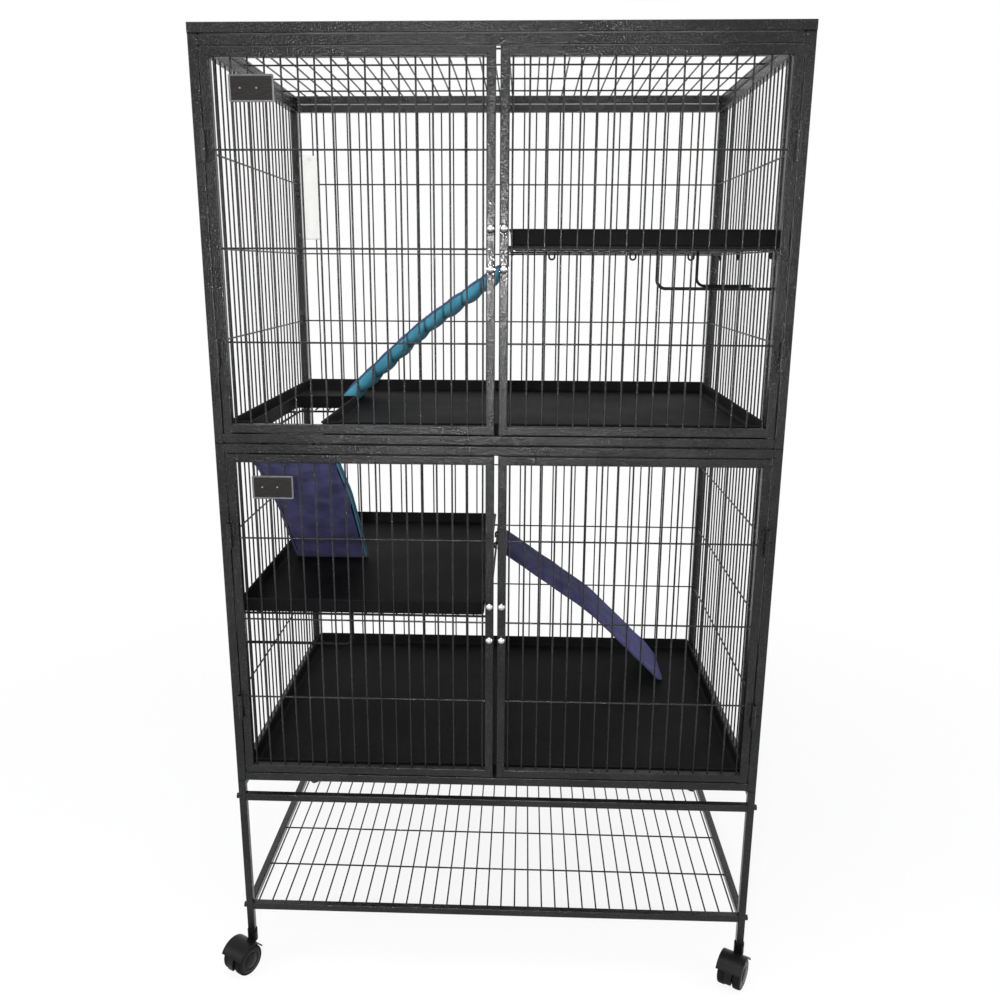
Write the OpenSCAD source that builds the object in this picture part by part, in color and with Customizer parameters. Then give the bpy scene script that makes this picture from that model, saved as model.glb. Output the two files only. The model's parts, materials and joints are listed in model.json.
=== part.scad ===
// Two-storey wire cage on a wheeled stand, with trays, half shelves, padded ramps and four doors.
// Millimetres. +Z up, the doors face -Y, and the origin is on the floor under the middle of the cage.

/* [Cage] */
// Overall width of the cage frame
cage_w = 914.4; // [760:1:1100]
// Overall depth of the cage frame
cage_d = 635; // [560:1:800]
// Height of one storey
storey_h = 607; // [540:1:700]
// Thickness of the plastic caps between the posts
cap_t = 2; // [1:0.1:4]
// Square tube of the cage frame
frame_t = 15; // [12:0.5:20]
// Square tube of the doors
door_t = 14; // [12:0.5:16]
// Wall of every square tube
tube_wall = 1.2; // [0.8:0.1:1.6]
// Outer corner radius of every square tube
tube_r = 1.8; // [0.8:0.1:2.5]

/* [Wires] */
// Diameter of the wall bars
bar_d = 3; // [2.4:0.1:3.6]
// Spacing of the wall bars
bar_pitch = 25; // [20:0.5:30]
// Smallest gap between an end bar and its tube
bar_margin = 3; // [2:0.5:8]
// Diameter of the rods that edge the floors and half shelves
rod_d = 4; // [3.4:0.1:5]
// Height of the lowest crossbar above the storey's bottom
cross_low = 161; // [130:1:180]
// Spacing of the three crossbars of a wall
cross_step = 143.5; // [120:0.5:150]

/* [Stand] */
// Height of the stand, from the floor to the cage
stand_h = 380; // [340:1:440]
// Square tube of the stand
stand_t = 13; // [11:0.5:15]
// How far the stand's front and rear rails lie below its top
stand_rail_drop = 26; // [16:1:60]
// Top of the storage rack's rails
rack_z = 129; // [110:1:200]
// Spacing of the crossbars of the rack and the top
flat_cross_step = 123; // [100:1:135]
// Number of crossbars in the rack and in the top
flat_crosses = 4; // [3:1:5]
// Radius of the bolt heads
bolt_head_r = 5; // [4:0.5:6]
// Thickness of the bolt heads
bolt_head_h = 4.5; // [3:0.5:6]

/* [Casters] */
// Wheel diameter
wheel_d = 56; // [50:1:58]
// Width of one wheel
wheel_w = 17; // [14:0.5:20]
// Width of the web between the two wheels
caster_web = 13; // [11:0.5:16]
// Distance from the swivel axis to the wheel axle
trail = 27; // [22:0.5:30]
// Underside of the legs above the floor
caster_h = 70; // [70:0.5:80]
// Turn of the front casters, from pointing straight to the front
front_turn = 31; // [0:1:45]
// Turn of the rear casters outwards, from pointing straight to the rear
rear_turn = 36; // [20:1:70]

/* [Doors] */
// Gap around each door
door_gap = 1.4; // [1:0.1:2.5]
// Gap between the two doors
meeting_gap = 6.4; // [4:0.1:9]
// Length of one hinge knuckle
knuckle_h = 22; // [18:1:26]
// Outer radius of the hinge knuckles
knuckle_r = 4; // [3.8:0.1:5]
// Radius of the hinge pins
pin_r = 2.4; // [2:0.1:2.6]
// Height of the lower hinge above the storey's bottom
hinge_low = 144; // [110:1:180]
// Height of the upper hinge above the storey's bottom
hinge_high = 453; // [410:1:490]
// Radius of the domed latch knobs
knob_r = 7; // [5.5:0.5:8]
// Height of the knobs above and below the shelf line
knob_offset = 30; // [25:1:40]
// Width of the bare name plate
plate_w = 68; // [50:1:80]
// Height of the bare name plate
plate_h = 39; // [28:1:45]
// How far the name plate's top lies below the storey's top
plate_drop = 53; // [40:1:70]

/* [Trays] */
// Depth of the trays
tray_h = 25; // [18:1:32]
// Wall of the trays
tray_wall = 2.5; // [2:0.1:4]
// Corner radius of the trays
tray_r = 10; // [6:1:24]
// Gap between a tray and the cage walls
tray_gap = 3; // [2:0.5:6]
// Distance of the half-shelf trays' inner edges from the middle
shelf_inner = 17; // [17:1:60]
// Width of the ramp opening in the upper floor
opening_w = 104; // [98:1:130]
// Rear edge of the ramp opening, behind the cage's middle
opening_y = 10; // [0:1:40]

/* [Ramps] */
// Width of the ramps
ramp_w = 150; // [120:1:155]
// Thickness of the upper ramp's padded cover
ramp_thick = 28; // [22:1:34]
// Thickness of the other two covers
ramp_thin = 17.5; // [16:0.5:22]
// Distance between a ramp's two hooks
hook_spread = 84; // [60:1:86]
// Length of the steeper lower part of a ramp
ramp_low_l = 228; // [200:1:240]
// Slope of the upper part of the upper and lower ramps
ramp_up_deg = 35; // [33:1:38]
// Slope of their lower part
ramp_low_deg = 45; // [43:1:48]
// How much steeper the middle ramp lies
ramp_mid_tilt = 2; // [1:0.5:6]
// How much flatter the lower part of the upper ramp lies
ramp_upper_ease = 2.5; // [0.5:0.5:5]
// Diameter of the ramps' inner wires
ramp_rod = 4; // [3:0.2:4.5]
// Middle of the upper ramp, behind the cage's middle
ramp_upper_y = 139; // [100:1:180]
// Middle of the lower ramp, behind the cage's middle
ramp_lower_y = 179; // [130:1:190]
// Middle of the middle ramp and of the ramp opening, left of the cage's middle
ramp_middle_x = 342; // [335:1:350]

/* [Hidden] */
$fn = 48;

frame_colour = [0.22, 0.22, 0.23];
wire_colour = [0.16, 0.16, 0.17];
tray_colour = [0.06, 0.06, 0.065];
chrome_colour = [0.78, 0.78, 0.8];
caster_colour = [0.08, 0.08, 0.085];
socket_colour = [0.12, 0.12, 0.12];
cover_colour = [0.27, 0.22, 0.45];
plate_colour = [0.12, 0.11, 0.1];
tag_colour = [0.9, 0.9, 0.88];

half_w = cage_w / 2;
half_d = cage_d / 2;
front_y = -half_d;
inner_w = cage_w - 2 * frame_t;
inner_d = cage_d - 2 * frame_t;
weld = 0.8;
wire_gap = 0.1;
rest_gap = 0.3;
run_fit = 0.05;
joint_ball = 0.6;
lower_z = stand_h + cap_t;
upper_z = lower_z + storey_h + cap_t;
top_z = upper_z + storey_h + cap_t;
mid_cross = cross_low + cross_step;
cross_heights = [cross_low, mid_cross, cross_low + 2 * cross_step];

// ---------- outlines ----------

// Rectangle about the origin with rounded corners
module rounded_rect(w, h, r) {
    square([w - 2 * r, h], center = true);
    square([w, h - 2 * r], center = true);
    for (x = [-1, 1], y = [-1, 1]) translate([x * (w / 2 - r), y * (h / 2 - r)]) circle(r = r);
}

module tube_profile(t) {
    difference() {
        rounded_rect(t, t, tube_r);
        square(t - 2 * tube_wall, center = true);
    }
}

module tube_x(x0, x1, y, z, t) {
    translate([x0, y, z]) rotate([0, 90, 0]) linear_extrude(x1 - x0) tube_profile(t);
}

module tube_y(y0, y1, x, z, t) {
    translate([x, y0, z]) rotate([-90, 0, 0]) linear_extrude(y1 - y0) tube_profile(t);
}

module tube_z(z0, z1, x, y, t) {
    translate([x, y, z0]) linear_extrude(z1 - z0) tube_profile(t);
}

module rod_x(x0, x1, y, z, d) {
    translate([x0, y, z]) rotate([0, 90, 0]) cylinder(d = d, h = x1 - x0);
}

module rod_y(y0, y1, x, z, d) {
    translate([x, y0, z]) rotate([-90, 0, 0]) cylinder(d = d, h = y1 - y0);
}

module rod_z(z0, z1, x, y, d) {
    translate([x, y, z0]) cylinder(d = d, h = z1 - z0);
}

// Evenly pitched places across a clear width, centred on zero
function bar_places(clear, pitch) =
    let (n = floor((clear - bar_d - 2 * bar_margin) / pitch))
    [for (i = [0:n]) (i - n / 2) * pitch];

// ---------- wall panels ----------

// Upright bars between two rails in the XZ plane, centred on X, with crossbars in front (-1) or behind (1).
// The crossbars run past the clear width by their own weld, or stop short of it where that is negative.
module barred_rails(w, h, t, crosses, cross_side, cross_weld) {
    for (z = [t / 2, h - t / 2]) tube_x(-w / 2, w / 2, 0, z, t);
    clear = w - (cross_weld > 0 ? 2 * weld : 0);
    for (x = bar_places(clear, bar_pitch)) rod_z(t - weld, h - t + weld, x, 0, bar_d);
    for (z = crosses)
        rod_x(-clear / 2 - cross_weld, clear / 2 + cross_weld,
              cross_side * (bar_d + wire_gap), z, bar_d);
}

// A welded frame of square tube, upright in the XZ plane and centred on X, filled with bars
module barred_frame(w, h, t, crosses, cross_side) {
    for (s = [-1, 1]) tube_z(0, h, s * (w - t) / 2, 0, t);
    barred_rails(w - 2 * t + 2 * weld, h, t, crosses, cross_side, weld);
}

module side_panel(side, z) {
    color(frame_colour)
        translate([side * (half_w - frame_t / 2), 0, z])
            rotate([0, 0, side * 90])
                barred_frame(cage_d, storey_h, frame_t, cross_heights, 1);
}

module back_panel(z) {
    color(frame_colour)
        translate([0, half_d - frame_t / 2, z])
            barred_rails(inner_w, storey_h, frame_t, cross_heights, -1, -wire_gap);
}

module front_rail(z) {
    color(frame_colour)
        tube_x(-inner_w / 2, inner_w / 2, front_y + frame_t / 2, z, frame_t);
}

module sill(z) { front_rail(z + frame_t / 2); }

module header(z) { front_rail(z + storey_h - frame_t / 2); }

// Bars and crossbars of a flat panel, between rails that stand clear_w and clear_d apart
module flat_bars(clear_w, clear_d, z, cross_z) {
    for (x = bar_places(clear_w, bar_pitch))
        rod_y(-clear_d / 2 - weld, clear_d / 2 + weld, x, z, bar_d);
    for (i = [0:flat_crosses - 1])
        rod_x(-clear_w / 2 - weld, clear_w / 2 + weld,
              (i - (flat_crosses - 1) / 2) * flat_cross_step, cross_z, bar_d);
}

module top_panel() {
    color(frame_colour) translate([0, 0, top_z + frame_t / 2]) {
        for (s = [-1, 1]) tube_x(-half_w, half_w, s * (half_d - frame_t / 2), 0, frame_t);
        for (s = [-1, 1])
            tube_y(-inner_d / 2 - weld, inner_d / 2 + weld, s * (half_w - frame_t / 2), 0, frame_t);
        flat_bars(inner_w, inner_d, 0, -bar_d - wire_gap);
    }
}

plug_l = 9;
plug_fit = 0.15;
plug_sink = 1;

// Cap between two posts: a thin plate with a square plug below, and one above where a post follows
module post_cap(z, below_t, above_t) {
    for (x = [-1, 1], y = [-1, 1])
        translate([x * (half_w - frame_t / 2), y * (half_d - frame_t / 2), z]) {
            linear_extrude(cap_t) rounded_rect(frame_t, frame_t, tube_r);
            shift = (frame_t - below_t) / 2;
            below = below_t - 2 * tube_wall - 2 * plug_fit;
            translate([x * shift, y * shift, (plug_sink - plug_l) / 2])
                cube([below, below, plug_l + plug_sink], center = true);
            above = above_t - 2 * tube_wall - 2 * plug_fit;
            if (above_t > 0) translate([0, 0, cap_t + (plug_l - plug_sink) / 2])
                cube([above, above, plug_l + plug_sink], center = true);
        }
}

module post_caps() {
    color(socket_colour) {
        post_cap(stand_h, stand_t, frame_t);
        post_cap(lower_z + storey_h, frame_t, frame_t);
        post_cap(upper_z + storey_h, frame_t, 0);
    }
}

// ---------- doors ----------

door_h = storey_h - 2 * frame_t - 2 * door_gap;
door_outer = inner_w / 2 - door_gap;
door_inner = meeting_gap / 2;
door_w = door_outer - door_inner;
door_mid = (door_outer + door_inner) / 2;
door_bottom = frame_t + door_gap;
door_y = front_y + door_t / 2;
door_back = front_y + door_t;
stile_x = door_inner + door_t / 2;
hinge_x = inner_w / 2 - door_gap / 2;
leaf_t = 2;
leaf_w = 9;
hinge_y = front_y - knuckle_r - 0.6;
hinge_heights = [hinge_low, hinge_high];
shaft_r = 3;
knob_heights = [mid_cross + knob_offset, mid_cross - knob_offset];

// One hinge half: a knuckle on the hinge axis with its leaf on the front face
module knuckle(side, toward, z0, z1, sink) {
    translate([side * hinge_x, hinge_y, z0]) cylinder(r = knuckle_r, h = z1 - z0);
    leaf_x = side * hinge_x + (toward > 0 ? 0 : -leaf_w);
    translate([leaf_x, front_y - leaf_t, z0]) cube([leaf_w, leaf_t + sink, z1 - z0]);
}

module hinge_pins(z) {
    color(frame_colour) for (side = [-1, 1], h = hinge_heights) translate([0, 0, z + h]) {
        knuckle(side, side, -knuckle_h, 0, 0);
        translate([side * hinge_x, hinge_y, -knuckle_h / 2])
            cylinder(r = pin_r, h = 1.5 * knuckle_h - 2);
    }
}

module door(side, z) {
    color(frame_colour) translate([0, 0, z]) difference() {
        union() {
            translate([side * door_mid, door_y, door_bottom])
                barred_frame(door_w, door_h, door_t,
                             [for (c = cross_heights) c - door_bottom], -1);
            for (h = hinge_heights)
                translate([0, 0, h]) knuckle(side, -side, rest_gap, knuckle_h, weld);
        }
        for (h = hinge_heights)
            translate([side * hinge_x, hinge_y, h - 1])
                cylinder(r = pin_r + run_fit, h = knuckle_h + 2);
        for (h = knob_heights)
            translate([side * stile_x, front_y - 1, h])
                rotate([-90, 0, 0]) cylinder(r = shaft_r + run_fit, h = door_t + 2);
    }
}

// ---------- latches ----------

knob_base = 1.5;
dome_h = 6;
hook_t = 2.5;
hook_w = 11;
hook_gap = 0.4;
hook_reach = 2 * stile_x;
stud_flange = 1.5;

// Domed knob and shaft, standing on the front face at the origin and pointing to -Y
module knob(shaft_l) {
    sphere_r = (knob_r * knob_r + dome_h * dome_h) / (2 * dome_h);
    rotate([90, 0, 0]) {
        translate([0, 0, hook_gap]) cylinder(r = knob_r, h = knob_base);
        translate([0, 0, hook_gap + knob_base - 0.1]) intersection() {
            translate([0, 0, dome_h - sphere_r]) sphere(r = sphere_r);
            cylinder(r = 2 * knob_r, h = dome_h + 1);
        }
    }
    rotate([-90, 0, 0]) translate([0, 0, -hook_gap - knob_base / 2])
        cylinder(r = shaft_r, h = shaft_l + hook_gap + knob_base / 2);
}

// Turning knob on the right door with a notched arm behind the stile, hanging down
module hook(z) {
    color(chrome_colour) translate([stile_x, front_y, z]) {
        knob(door_t + hook_gap + hook_t);
        translate([0, door_t + hook_gap, 0]) rotate([-90, 0, 0]) difference() {
            union() {
                cylinder(r = hook_w / 2, h = hook_t);
                translate([-hook_w / 2, 0, 0]) cube([hook_w, hook_reach + 1, hook_t]);
                translate([0, hook_reach + 1, 0]) cylinder(r = hook_w / 2, h = hook_t);
            }
            // notch along the arc that the stud takes, open towards the side that turns up
            intersection() {
                difference() {
                    translate([0, 0, -1]) cylinder(r = hook_reach + shaft_r + rest_gap, h = hook_t + 2);
                    translate([0, 0, -2]) cylinder(r = hook_reach - shaft_r - rest_gap, h = hook_t + 4);
                }
                translate([-hook_w, 0, -1]) cube([hook_w, 2 * hook_reach, hook_t + 2]);
            }
            translate([0, hook_reach, -1]) cylinder(r = shaft_r + rest_gap, h = hook_t + 2);
        }
    }
}

module latch_studs(z) {
    neck = 2 * hook_gap + hook_t;
    color(chrome_colour) for (h = knob_heights) translate([-stile_x, front_y, z + h]) {
        knob(door_t + neck);
        translate([0, door_t + neck, 0]) rotate([-90, 0, 0])
            cylinder(r = 2 * shaft_r, h = stud_flange);
    }
}

plate_t = 1.2;
plate_shift = 5;
rivet_r = 1.5;

// Blank plate on the left door: a face in front of the bars and a strip behind them, riveted together
module name_plate(z) {
    places = bar_places(door_w - 2 * door_t, bar_pitch);
    bar_x = places[2] - door_mid;
    front = door_y - bar_d / 2 - wire_gap - plate_t;
    back = door_y + bar_d / 2 + wire_gap;
    color(plate_colour) translate([bar_x, 0, z + storey_h - plate_drop - plate_h / 2]) {
        translate([plate_shift, front, 0]) rotate([-90, 0, 0]) linear_extrude(plate_t)
            rounded_rect(plate_w, plate_h, 2);
        translate([-bar_pitch, back, -plate_h / 8]) cube([2 * bar_pitch, plate_t, plate_h / 4]);
        for (s = [-0.5, 0.5]) translate([s * bar_pitch, front + 0.2, 0])
            rotate([-90, 0, 0]) cylinder(r = rivet_r, h = back - front);
    }
}

tag_w = 40;
tag_h = 172;
tag_t = 0.8;
tag_low = 334;
tag_x = -421;
tie_r = 1;

// Blank paper tag that hangs from a tie round the highest crossbar of the back wall
module hang_tag(z) {
    cross_y = half_d - frame_t / 2 - bar_d - wire_gap;
    cross_z = cross_heights[2];
    loop_r = bar_d / 2 + tie_r + rest_gap;
    tag_y = cross_y - loop_r - tie_r - 1;
    color(tag_colour) translate([tag_x, tag_y, z + tag_low])
        rotate([90, 0, 0]) linear_extrude(tag_t) translate([0, tag_h / 2])
            rounded_rect(tag_w, tag_h, 4);
    color(tag_colour) translate([tag_x, cross_y, z + cross_z]) {
        rotate([0, 90, 0]) rotate_extrude() translate([loop_r, 0]) circle(r = tie_r);
        translate([0, -loop_r, 0]) rotate([90, 0, 0]) cylinder(r = tie_r, h = tie_r + 1 + tag_t);
    }
}

// ---------- floors and trays ----------

grid_z = 6.5;
grid_top = grid_z + bar_d / 2;
grid_rod_z = grid_z - (bar_d + rod_d) / 2 - wire_gap;
edge_inset = 8;
edge_y = inner_d / 2 - edge_inset;
floor_cross_count = 3;

opening_left = -ramp_middle_x - opening_w / 2;
opening_right = -ramp_middle_x + opening_w / 2;
rod_step = rod_d / 2 + wire_gap;

// Wires front to back over cross rods; the opening for the ramp leaves the front rod free as its hinge
module floor_grid(z, has_opening) {
    color(wire_colour) translate([0, 0, z]) {
        for (x = bar_places(inner_w, bar_pitch)) {
            cut = has_opening && x > opening_left && x < opening_right;
            rod_y(cut ? opening_y : -inner_d / 2, inner_d / 2, x, grid_z, bar_d);
        }
        for (i = [0:floor_cross_count + 1]) {
            y = (2 * i / (floor_cross_count + 1) - 1) * edge_y;
            cut = has_opening && y < opening_y && i > 0;
            rod_x(cut ? opening_right + rod_step : -inner_w / 2, inner_w / 2, y, grid_rod_z, rod_d);
            if (cut) rod_x(-inner_w / 2, opening_left - rod_step, y, grid_rod_z, rod_d);
        }
        if (has_opening) {
            rod_x(opening_left - rod_d / 2, opening_right + rod_d / 2, opening_y, grid_rod_z, rod_d);
            for (x = [opening_left, opening_right])
                rod_y(rod_step - edge_y, opening_y - rod_step, x, grid_rod_z, rod_d);
        }
    }
}

tray_lip = 2;

// Outline of a tray. A notch is its left, right and rear edge, and is open to the front.
module tray_outline(w, d, notch, inset) {
    difference() {
        rounded_rect(w - 2 * inset, d - 2 * inset, tray_r - inset);
        if (len(notch) > 0) translate([notch[0] - inset, -d])
            square([notch[1] - notch[0] + 2 * inset, d + notch[2] + inset]);
    }
}

// Open tray about the origin, with a lip round its rim and, where asked, a notch
module tray(w, d, notch) {
    color(tray_colour) difference() {
        union() {
            linear_extrude(tray_h) tray_outline(w, d, notch, tray_lip);
            translate([0, 0, tray_h - tray_lip]) linear_extrude(tray_lip)
                tray_outline(w, d, notch, 0);
        }
        translate([0, 0, tray_wall]) linear_extrude(tray_h)
            tray_outline(w, d, notch, tray_lip + tray_wall);
    }
}

tray_w = inner_w - 2 * tray_gap;
tray_front = door_back + tray_gap;
tray_back = inner_d / 2 - tray_gap;
tray_d = tray_back - tray_front;
tray_y = (tray_back + tray_front) / 2;
tray_floor = grid_top + rest_gap;

module floor_tray(z, has_opening) {
    notch = [opening_left - tray_gap, opening_right + tray_gap, opening_y - tray_y + tray_gap];
    translate([0, tray_y, z + tray_floor]) tray(tray_w, tray_d, has_opening ? notch : []);
}

// ---------- half shelves ----------

shelf_outer = inner_w / 2 - tray_gap;
shelf_rod_out = 5;
shelf_w = shelf_outer - shelf_inner;
shelf_mid = (shelf_outer + shelf_inner) / 2;
shelf_rod_z = mid_cross + (bar_d + rod_d) / 2 + wire_gap;
shelf_tray_z = shelf_rod_z + rod_d / 2 + rest_gap;
shelf_front = door_back + 2 * tray_gap;
shelf_back = inner_d / 2 - tray_gap;
shelf_y = (shelf_front + shelf_back) / 2;
shelf_d = shelf_back - shelf_front;
shelf_x0 = shelf_inner - shelf_rod_out;
shelf_x1 = shelf_outer - rod_d;
shelf_y0 = shelf_front + rod_d;
shelf_y1 = shelf_back - rod_d;
shelf_wires = floor((shelf_x1 - shelf_x0) / bar_pitch);
shelf_step = (shelf_x1 - shelf_x0) / shelf_wires;
bracket_d = 5;
bracket_drop = 62;
bracket_bend = 14;
hook_shares = [0.2, 0.62, 0.92];
hairpin_r = 6;
hairpin_drop = 8;
hook_play = 0.5;
brackets = [[0.03, 205], [0.45, 82]];

// Places halfway between two wall bars, nearest to the wanted ones
function between_bars(clear, wanted) =
    let (n = floor((clear - bar_d - 2 * bar_margin) / bar_pitch),
         shift = n % 2 == 0 ? 0.5 : 0)
    (round(wanted / bar_pitch - shift) + shift) * bar_pitch;

// Ball that joins two rods
module ball(d) { sphere(d = d + joint_ball); }

// Bent rod under the shelf: from a hook behind a bar of the side wall, in along X, up to a wire
module bracket(y, reach) {
    low = shelf_rod_z - bracket_drop;
    wall_x = half_w - frame_t / 2 + (bar_d + bracket_d) / 2 + wire_gap;
    top_x = shelf_x0 + shelf_step * round((inner_w / 2 - reach - shelf_x0) / shelf_step);
    rod_x(top_x + bracket_bend, wall_x, y, low, bracket_d);
    translate([top_x + bracket_bend, y, low + bracket_bend]) rotate([90, 0, 0]) rotate([0, 0, 180])
        rotate_extrude(angle = 90) translate([bracket_bend, 0]) circle(d = bracket_d);
    rod_z(low + bracket_bend, shelf_rod_z, top_x, y, bracket_d);
    translate([wall_x, y, low]) ball(bracket_d);
    rod_y(y, y + bar_pitch * 0.8, wall_x, low, bracket_d);
}

// Hairpin over a wall's crossbar: two rods that run out along Y, turn down behind it and join in a bend
module hairpin(reach) {
    for (s = [-1, 1]) translate([s * hairpin_r, 0, 0]) {
        rod_y(-reach, 0, 0, 0, rod_d);
        ball(rod_d);
        rod_z(-hairpin_drop, 0, 0, 0, rod_d);
    }
    translate([0, 0, -hairpin_drop]) rotate([-90, 0, 0]) rotate_extrude(angle = 180)
        translate([hairpin_r, 0]) circle(d = rod_d);
}

// The shelf's frame, drawn for the right side: rods, wires, brackets and hairpins over the walls' crossbars
module shelf_frame_right() {
    translate([0, 0, shelf_rod_z]) {
        for (y = [shelf_y0, shelf_y1]) rod_x(shelf_x0, shelf_x1, y, 0, rod_d);
        for (x = [shelf_x0, shelf_x1]) rod_y(shelf_y0, shelf_y1, x, 0, rod_d);
        for (x = [shelf_x0, shelf_x1], y = [shelf_y0, shelf_y1]) translate([x, y, 0]) ball(rod_d);
        for (i = [1:shelf_wires - 1]) rod_y(shelf_y0, shelf_y1, shelf_x0 + i * shelf_step, 0, bar_d);
        back = half_d - frame_t / 2 + hook_play;
        for (f = hook_shares)
            translate([between_bars(inner_w, shelf_x0 + f * (shelf_x1 - shelf_x0)), back, 0])
                hairpin(back - shelf_y1);
        out = half_w - frame_t / 2 + hook_play;
        for (f = hook_shares)
            translate([out, between_bars(inner_d, shelf_y0 + f * (shelf_y1 - shelf_y0)), 0])
                rotate([0, 0, -90]) hairpin(out - shelf_x1);
    }
    for (b = brackets) bracket(between_bars(inner_d, shelf_y0 + b[0] * (shelf_y1 - shelf_y0)), b[1]);
}

module shelf_frame(side, z) {
    color(wire_colour) translate([0, 0, z])
        if (side > 0) shelf_frame_right();
        else mirror([1, 0, 0]) shelf_frame_right();
}

module shelf_tray(side, z) {
    translate([side * shelf_mid, shelf_y, z + shelf_tray_z]) tray(shelf_w, shelf_d, []);
}

// ---------- ramps ----------

cover_gap = 0.4;
ramp_margin = 6;
ramp_rungs = 11;
ramp_reach = 15;
hinge_r = rod_d / 2 + rest_gap + 0.05 + ramp_rod / 2;
hinge_tail = 8;
toe_h = 7;
pocket_end = 30;
cover_skin = 1.1;
rung_share = 0.8;
joint_swell = 0.4;
ramp_depth = ramp_thin - ramp_rod / 2 - cover_gap - cover_skin;
lower_riser = 1;
middle_riser = 19;
upper_riser = 27.6;

// A ramp is drawn hanging from a rod at the origin and falling towards +X, centred on Y.
// Its list holds the slope of the upper part, the slope of the lower part, the length of the
// upper part, the height of the cover's upper edge above the rod, and the cover's thickness.
function down(a) = [cos(a), -sin(a)];
function inward(a) = [-sin(a), -cos(a)];
function bisector(r) = (inward(r[0]) + inward(r[1])) / (1 + inward(r[0]) * inward(r[1]));
function ramp_top(r) = [ramp_reach, r[3]];
function ramp_kink(r) = ramp_top(r) + r[2] * down(r[0]);
function ramp_toe(r) = ramp_kink(r) + ramp_low_l * down(r[1]);

// The list of a ramp, from its slopes, its rod's height above its foot, its hooks' height and its thickness
function ramp_list(up, low, rod_h, riser, t) =
    let (top = ramp_depth * cos(up) - riser
             - (ramp_reach - ramp_depth * sin(up) - hinge_r) * tan(up),
         drop = rod_h + top - rest_gap - toe_h)
    [up, low, (drop - ramp_low_l * sin(low)) / sin(up), top, t];

// Side outline of the cover: parallel to the slopes, with its foot flat on the surface below
function cover_outline(r) =
    let (under = ramp_kink(r) + r[4] * bisector(r),
         ground = ramp_toe(r)[1] - toe_h,
         run = (under[1] - ground) / sin(r[1]))
    [ramp_top(r), ramp_kink(r), ramp_toe(r), ramp_toe(r) - [0, toe_h],
     under + run * down(r[1]), under, ramp_top(r) + r[4] * inward(r[0])];

// Side outline of the pocket, which is open at the top end
function pocket_outline(r) =
    let (half = ramp_rod / 2 + cover_gap, near = ramp_depth - half, far = ramp_depth + half,
         start = ramp_top(r) - down(r[0]), stop = ramp_toe(r) - pocket_end * down(r[1]))
    [start + near * inward(r[0]), ramp_kink(r) + near * bisector(r), stop + near * inward(r[1]),
     stop + far * inward(r[1]), ramp_kink(r) + far * bisector(r), start + far * inward(r[0])];

module across(outline, w) {
    translate([0, w / 2, 0]) rotate([90, 0, 0]) linear_extrude(w) polygon(outline);
}

module ramp_cover(r) {
    color(cover_colour) difference() {
        across(cover_outline(r), ramp_w);
        across(pocket_outline(r), ramp_w - 2 * ramp_margin);
    }
}

// Wire ladder inside the cover, with two hooks over the hinge rod on its top rung
module ramp_frame(r) {
    stile = ramp_w / 2 - ramp_margin - ramp_rod / 2 - cover_gap;
    kink = ramp_kink(r) + ramp_depth * bisector(r);
    low_end = ramp_toe(r) + ramp_depth * inward(r[1]);
    run_low = norm(low_end - kink) - pocket_end - ramp_rod / 2 - cover_gap;
    run_up = (kink[0] - hinge_r) / cos(r[0]);
    start = kink - run_up * down(r[0]);
    color(wire_colour) {
        for (s = [-1, 1]) translate([0, s * stile, 0]) {
            translate([kink[0], 0, kink[1]]) {
                sphere(d = ramp_rod + joint_swell);
                rotate([0, r[0] - 90, 0]) cylinder(d = ramp_rod, h = run_up);
                rotate([0, r[1] + 90, 0]) cylinder(d = ramp_rod, h = run_low);
            }
            translate([start[0], 0, start[1]]) sphere(d = ramp_rod + joint_swell);
        }
        for (s = [-1, 1]) translate([0, s * hook_spread / 2, 0]) {
            translate([start[0], 0, start[1]]) {
                sphere(d = ramp_rod + joint_swell);
                cylinder(d = ramp_rod, h = -start[1]);
            }
            rotate([90, 0, 0]) rotate_extrude(angle = 180)
                translate([hinge_r, 0]) circle(d = ramp_rod);
            translate([-hinge_r, 0, -hinge_tail]) cylinder(d = ramp_rod, h = hinge_tail);
        }
        rod_y(-stile, stile, start[0], start[1], ramp_rod * rung_share);
        first = 2 * ramp_reach;
        for (i = [0:ramp_rungs - 1]) {
            at = first + i * (run_up + run_low - first - ramp_rod) / (ramp_rungs - 1);
            p = at < run_up ? start + at * down(r[0]) : kink + (at - run_up) * down(r[1]);
            rod_y(-stile, stile, p[0], p[1], ramp_rod * rung_share);
        }
    }
}

tray_top = tray_wall + tray_floor;
side_rod_h = shelf_rod_z - tray_top;
middle_rod_h = upper_z + grid_rod_z - lower_z - shelf_tray_z - tray_wall;
upper_ramp = ramp_list(ramp_up_deg, ramp_low_deg - ramp_upper_ease, side_rod_h, upper_riser, ramp_thick);
lower_ramp = ramp_list(ramp_up_deg, ramp_low_deg, side_rod_h, lower_riser, ramp_thin);
middle_ramp = ramp_list(ramp_up_deg + ramp_mid_tilt, ramp_low_deg + ramp_mid_tilt,
                        middle_rod_h, middle_riser, ramp_thin);

module place_upper() {
    translate([shelf_x0, ramp_upper_y, upper_z + shelf_rod_z]) rotate([0, 0, 180]) children();
}

module place_lower() {
    translate([-shelf_x0, ramp_lower_y, lower_z + shelf_rod_z]) children();
}

module place_middle() {
    translate([-ramp_middle_x, -edge_y, upper_z + grid_rod_z]) rotate([0, 0, 90]) children();
}

// ---------- stand ----------

stand_x = half_w - stand_t / 2;
stand_y = half_d - stand_t / 2;
rail_z = [stand_h - stand_rail_drop - stand_t / 2, rack_z - stand_t / 2];
bolt_r = 2.5;
bolt_l = 26;
plug_depth = 14;
rack_layer_gap = 1;

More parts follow.
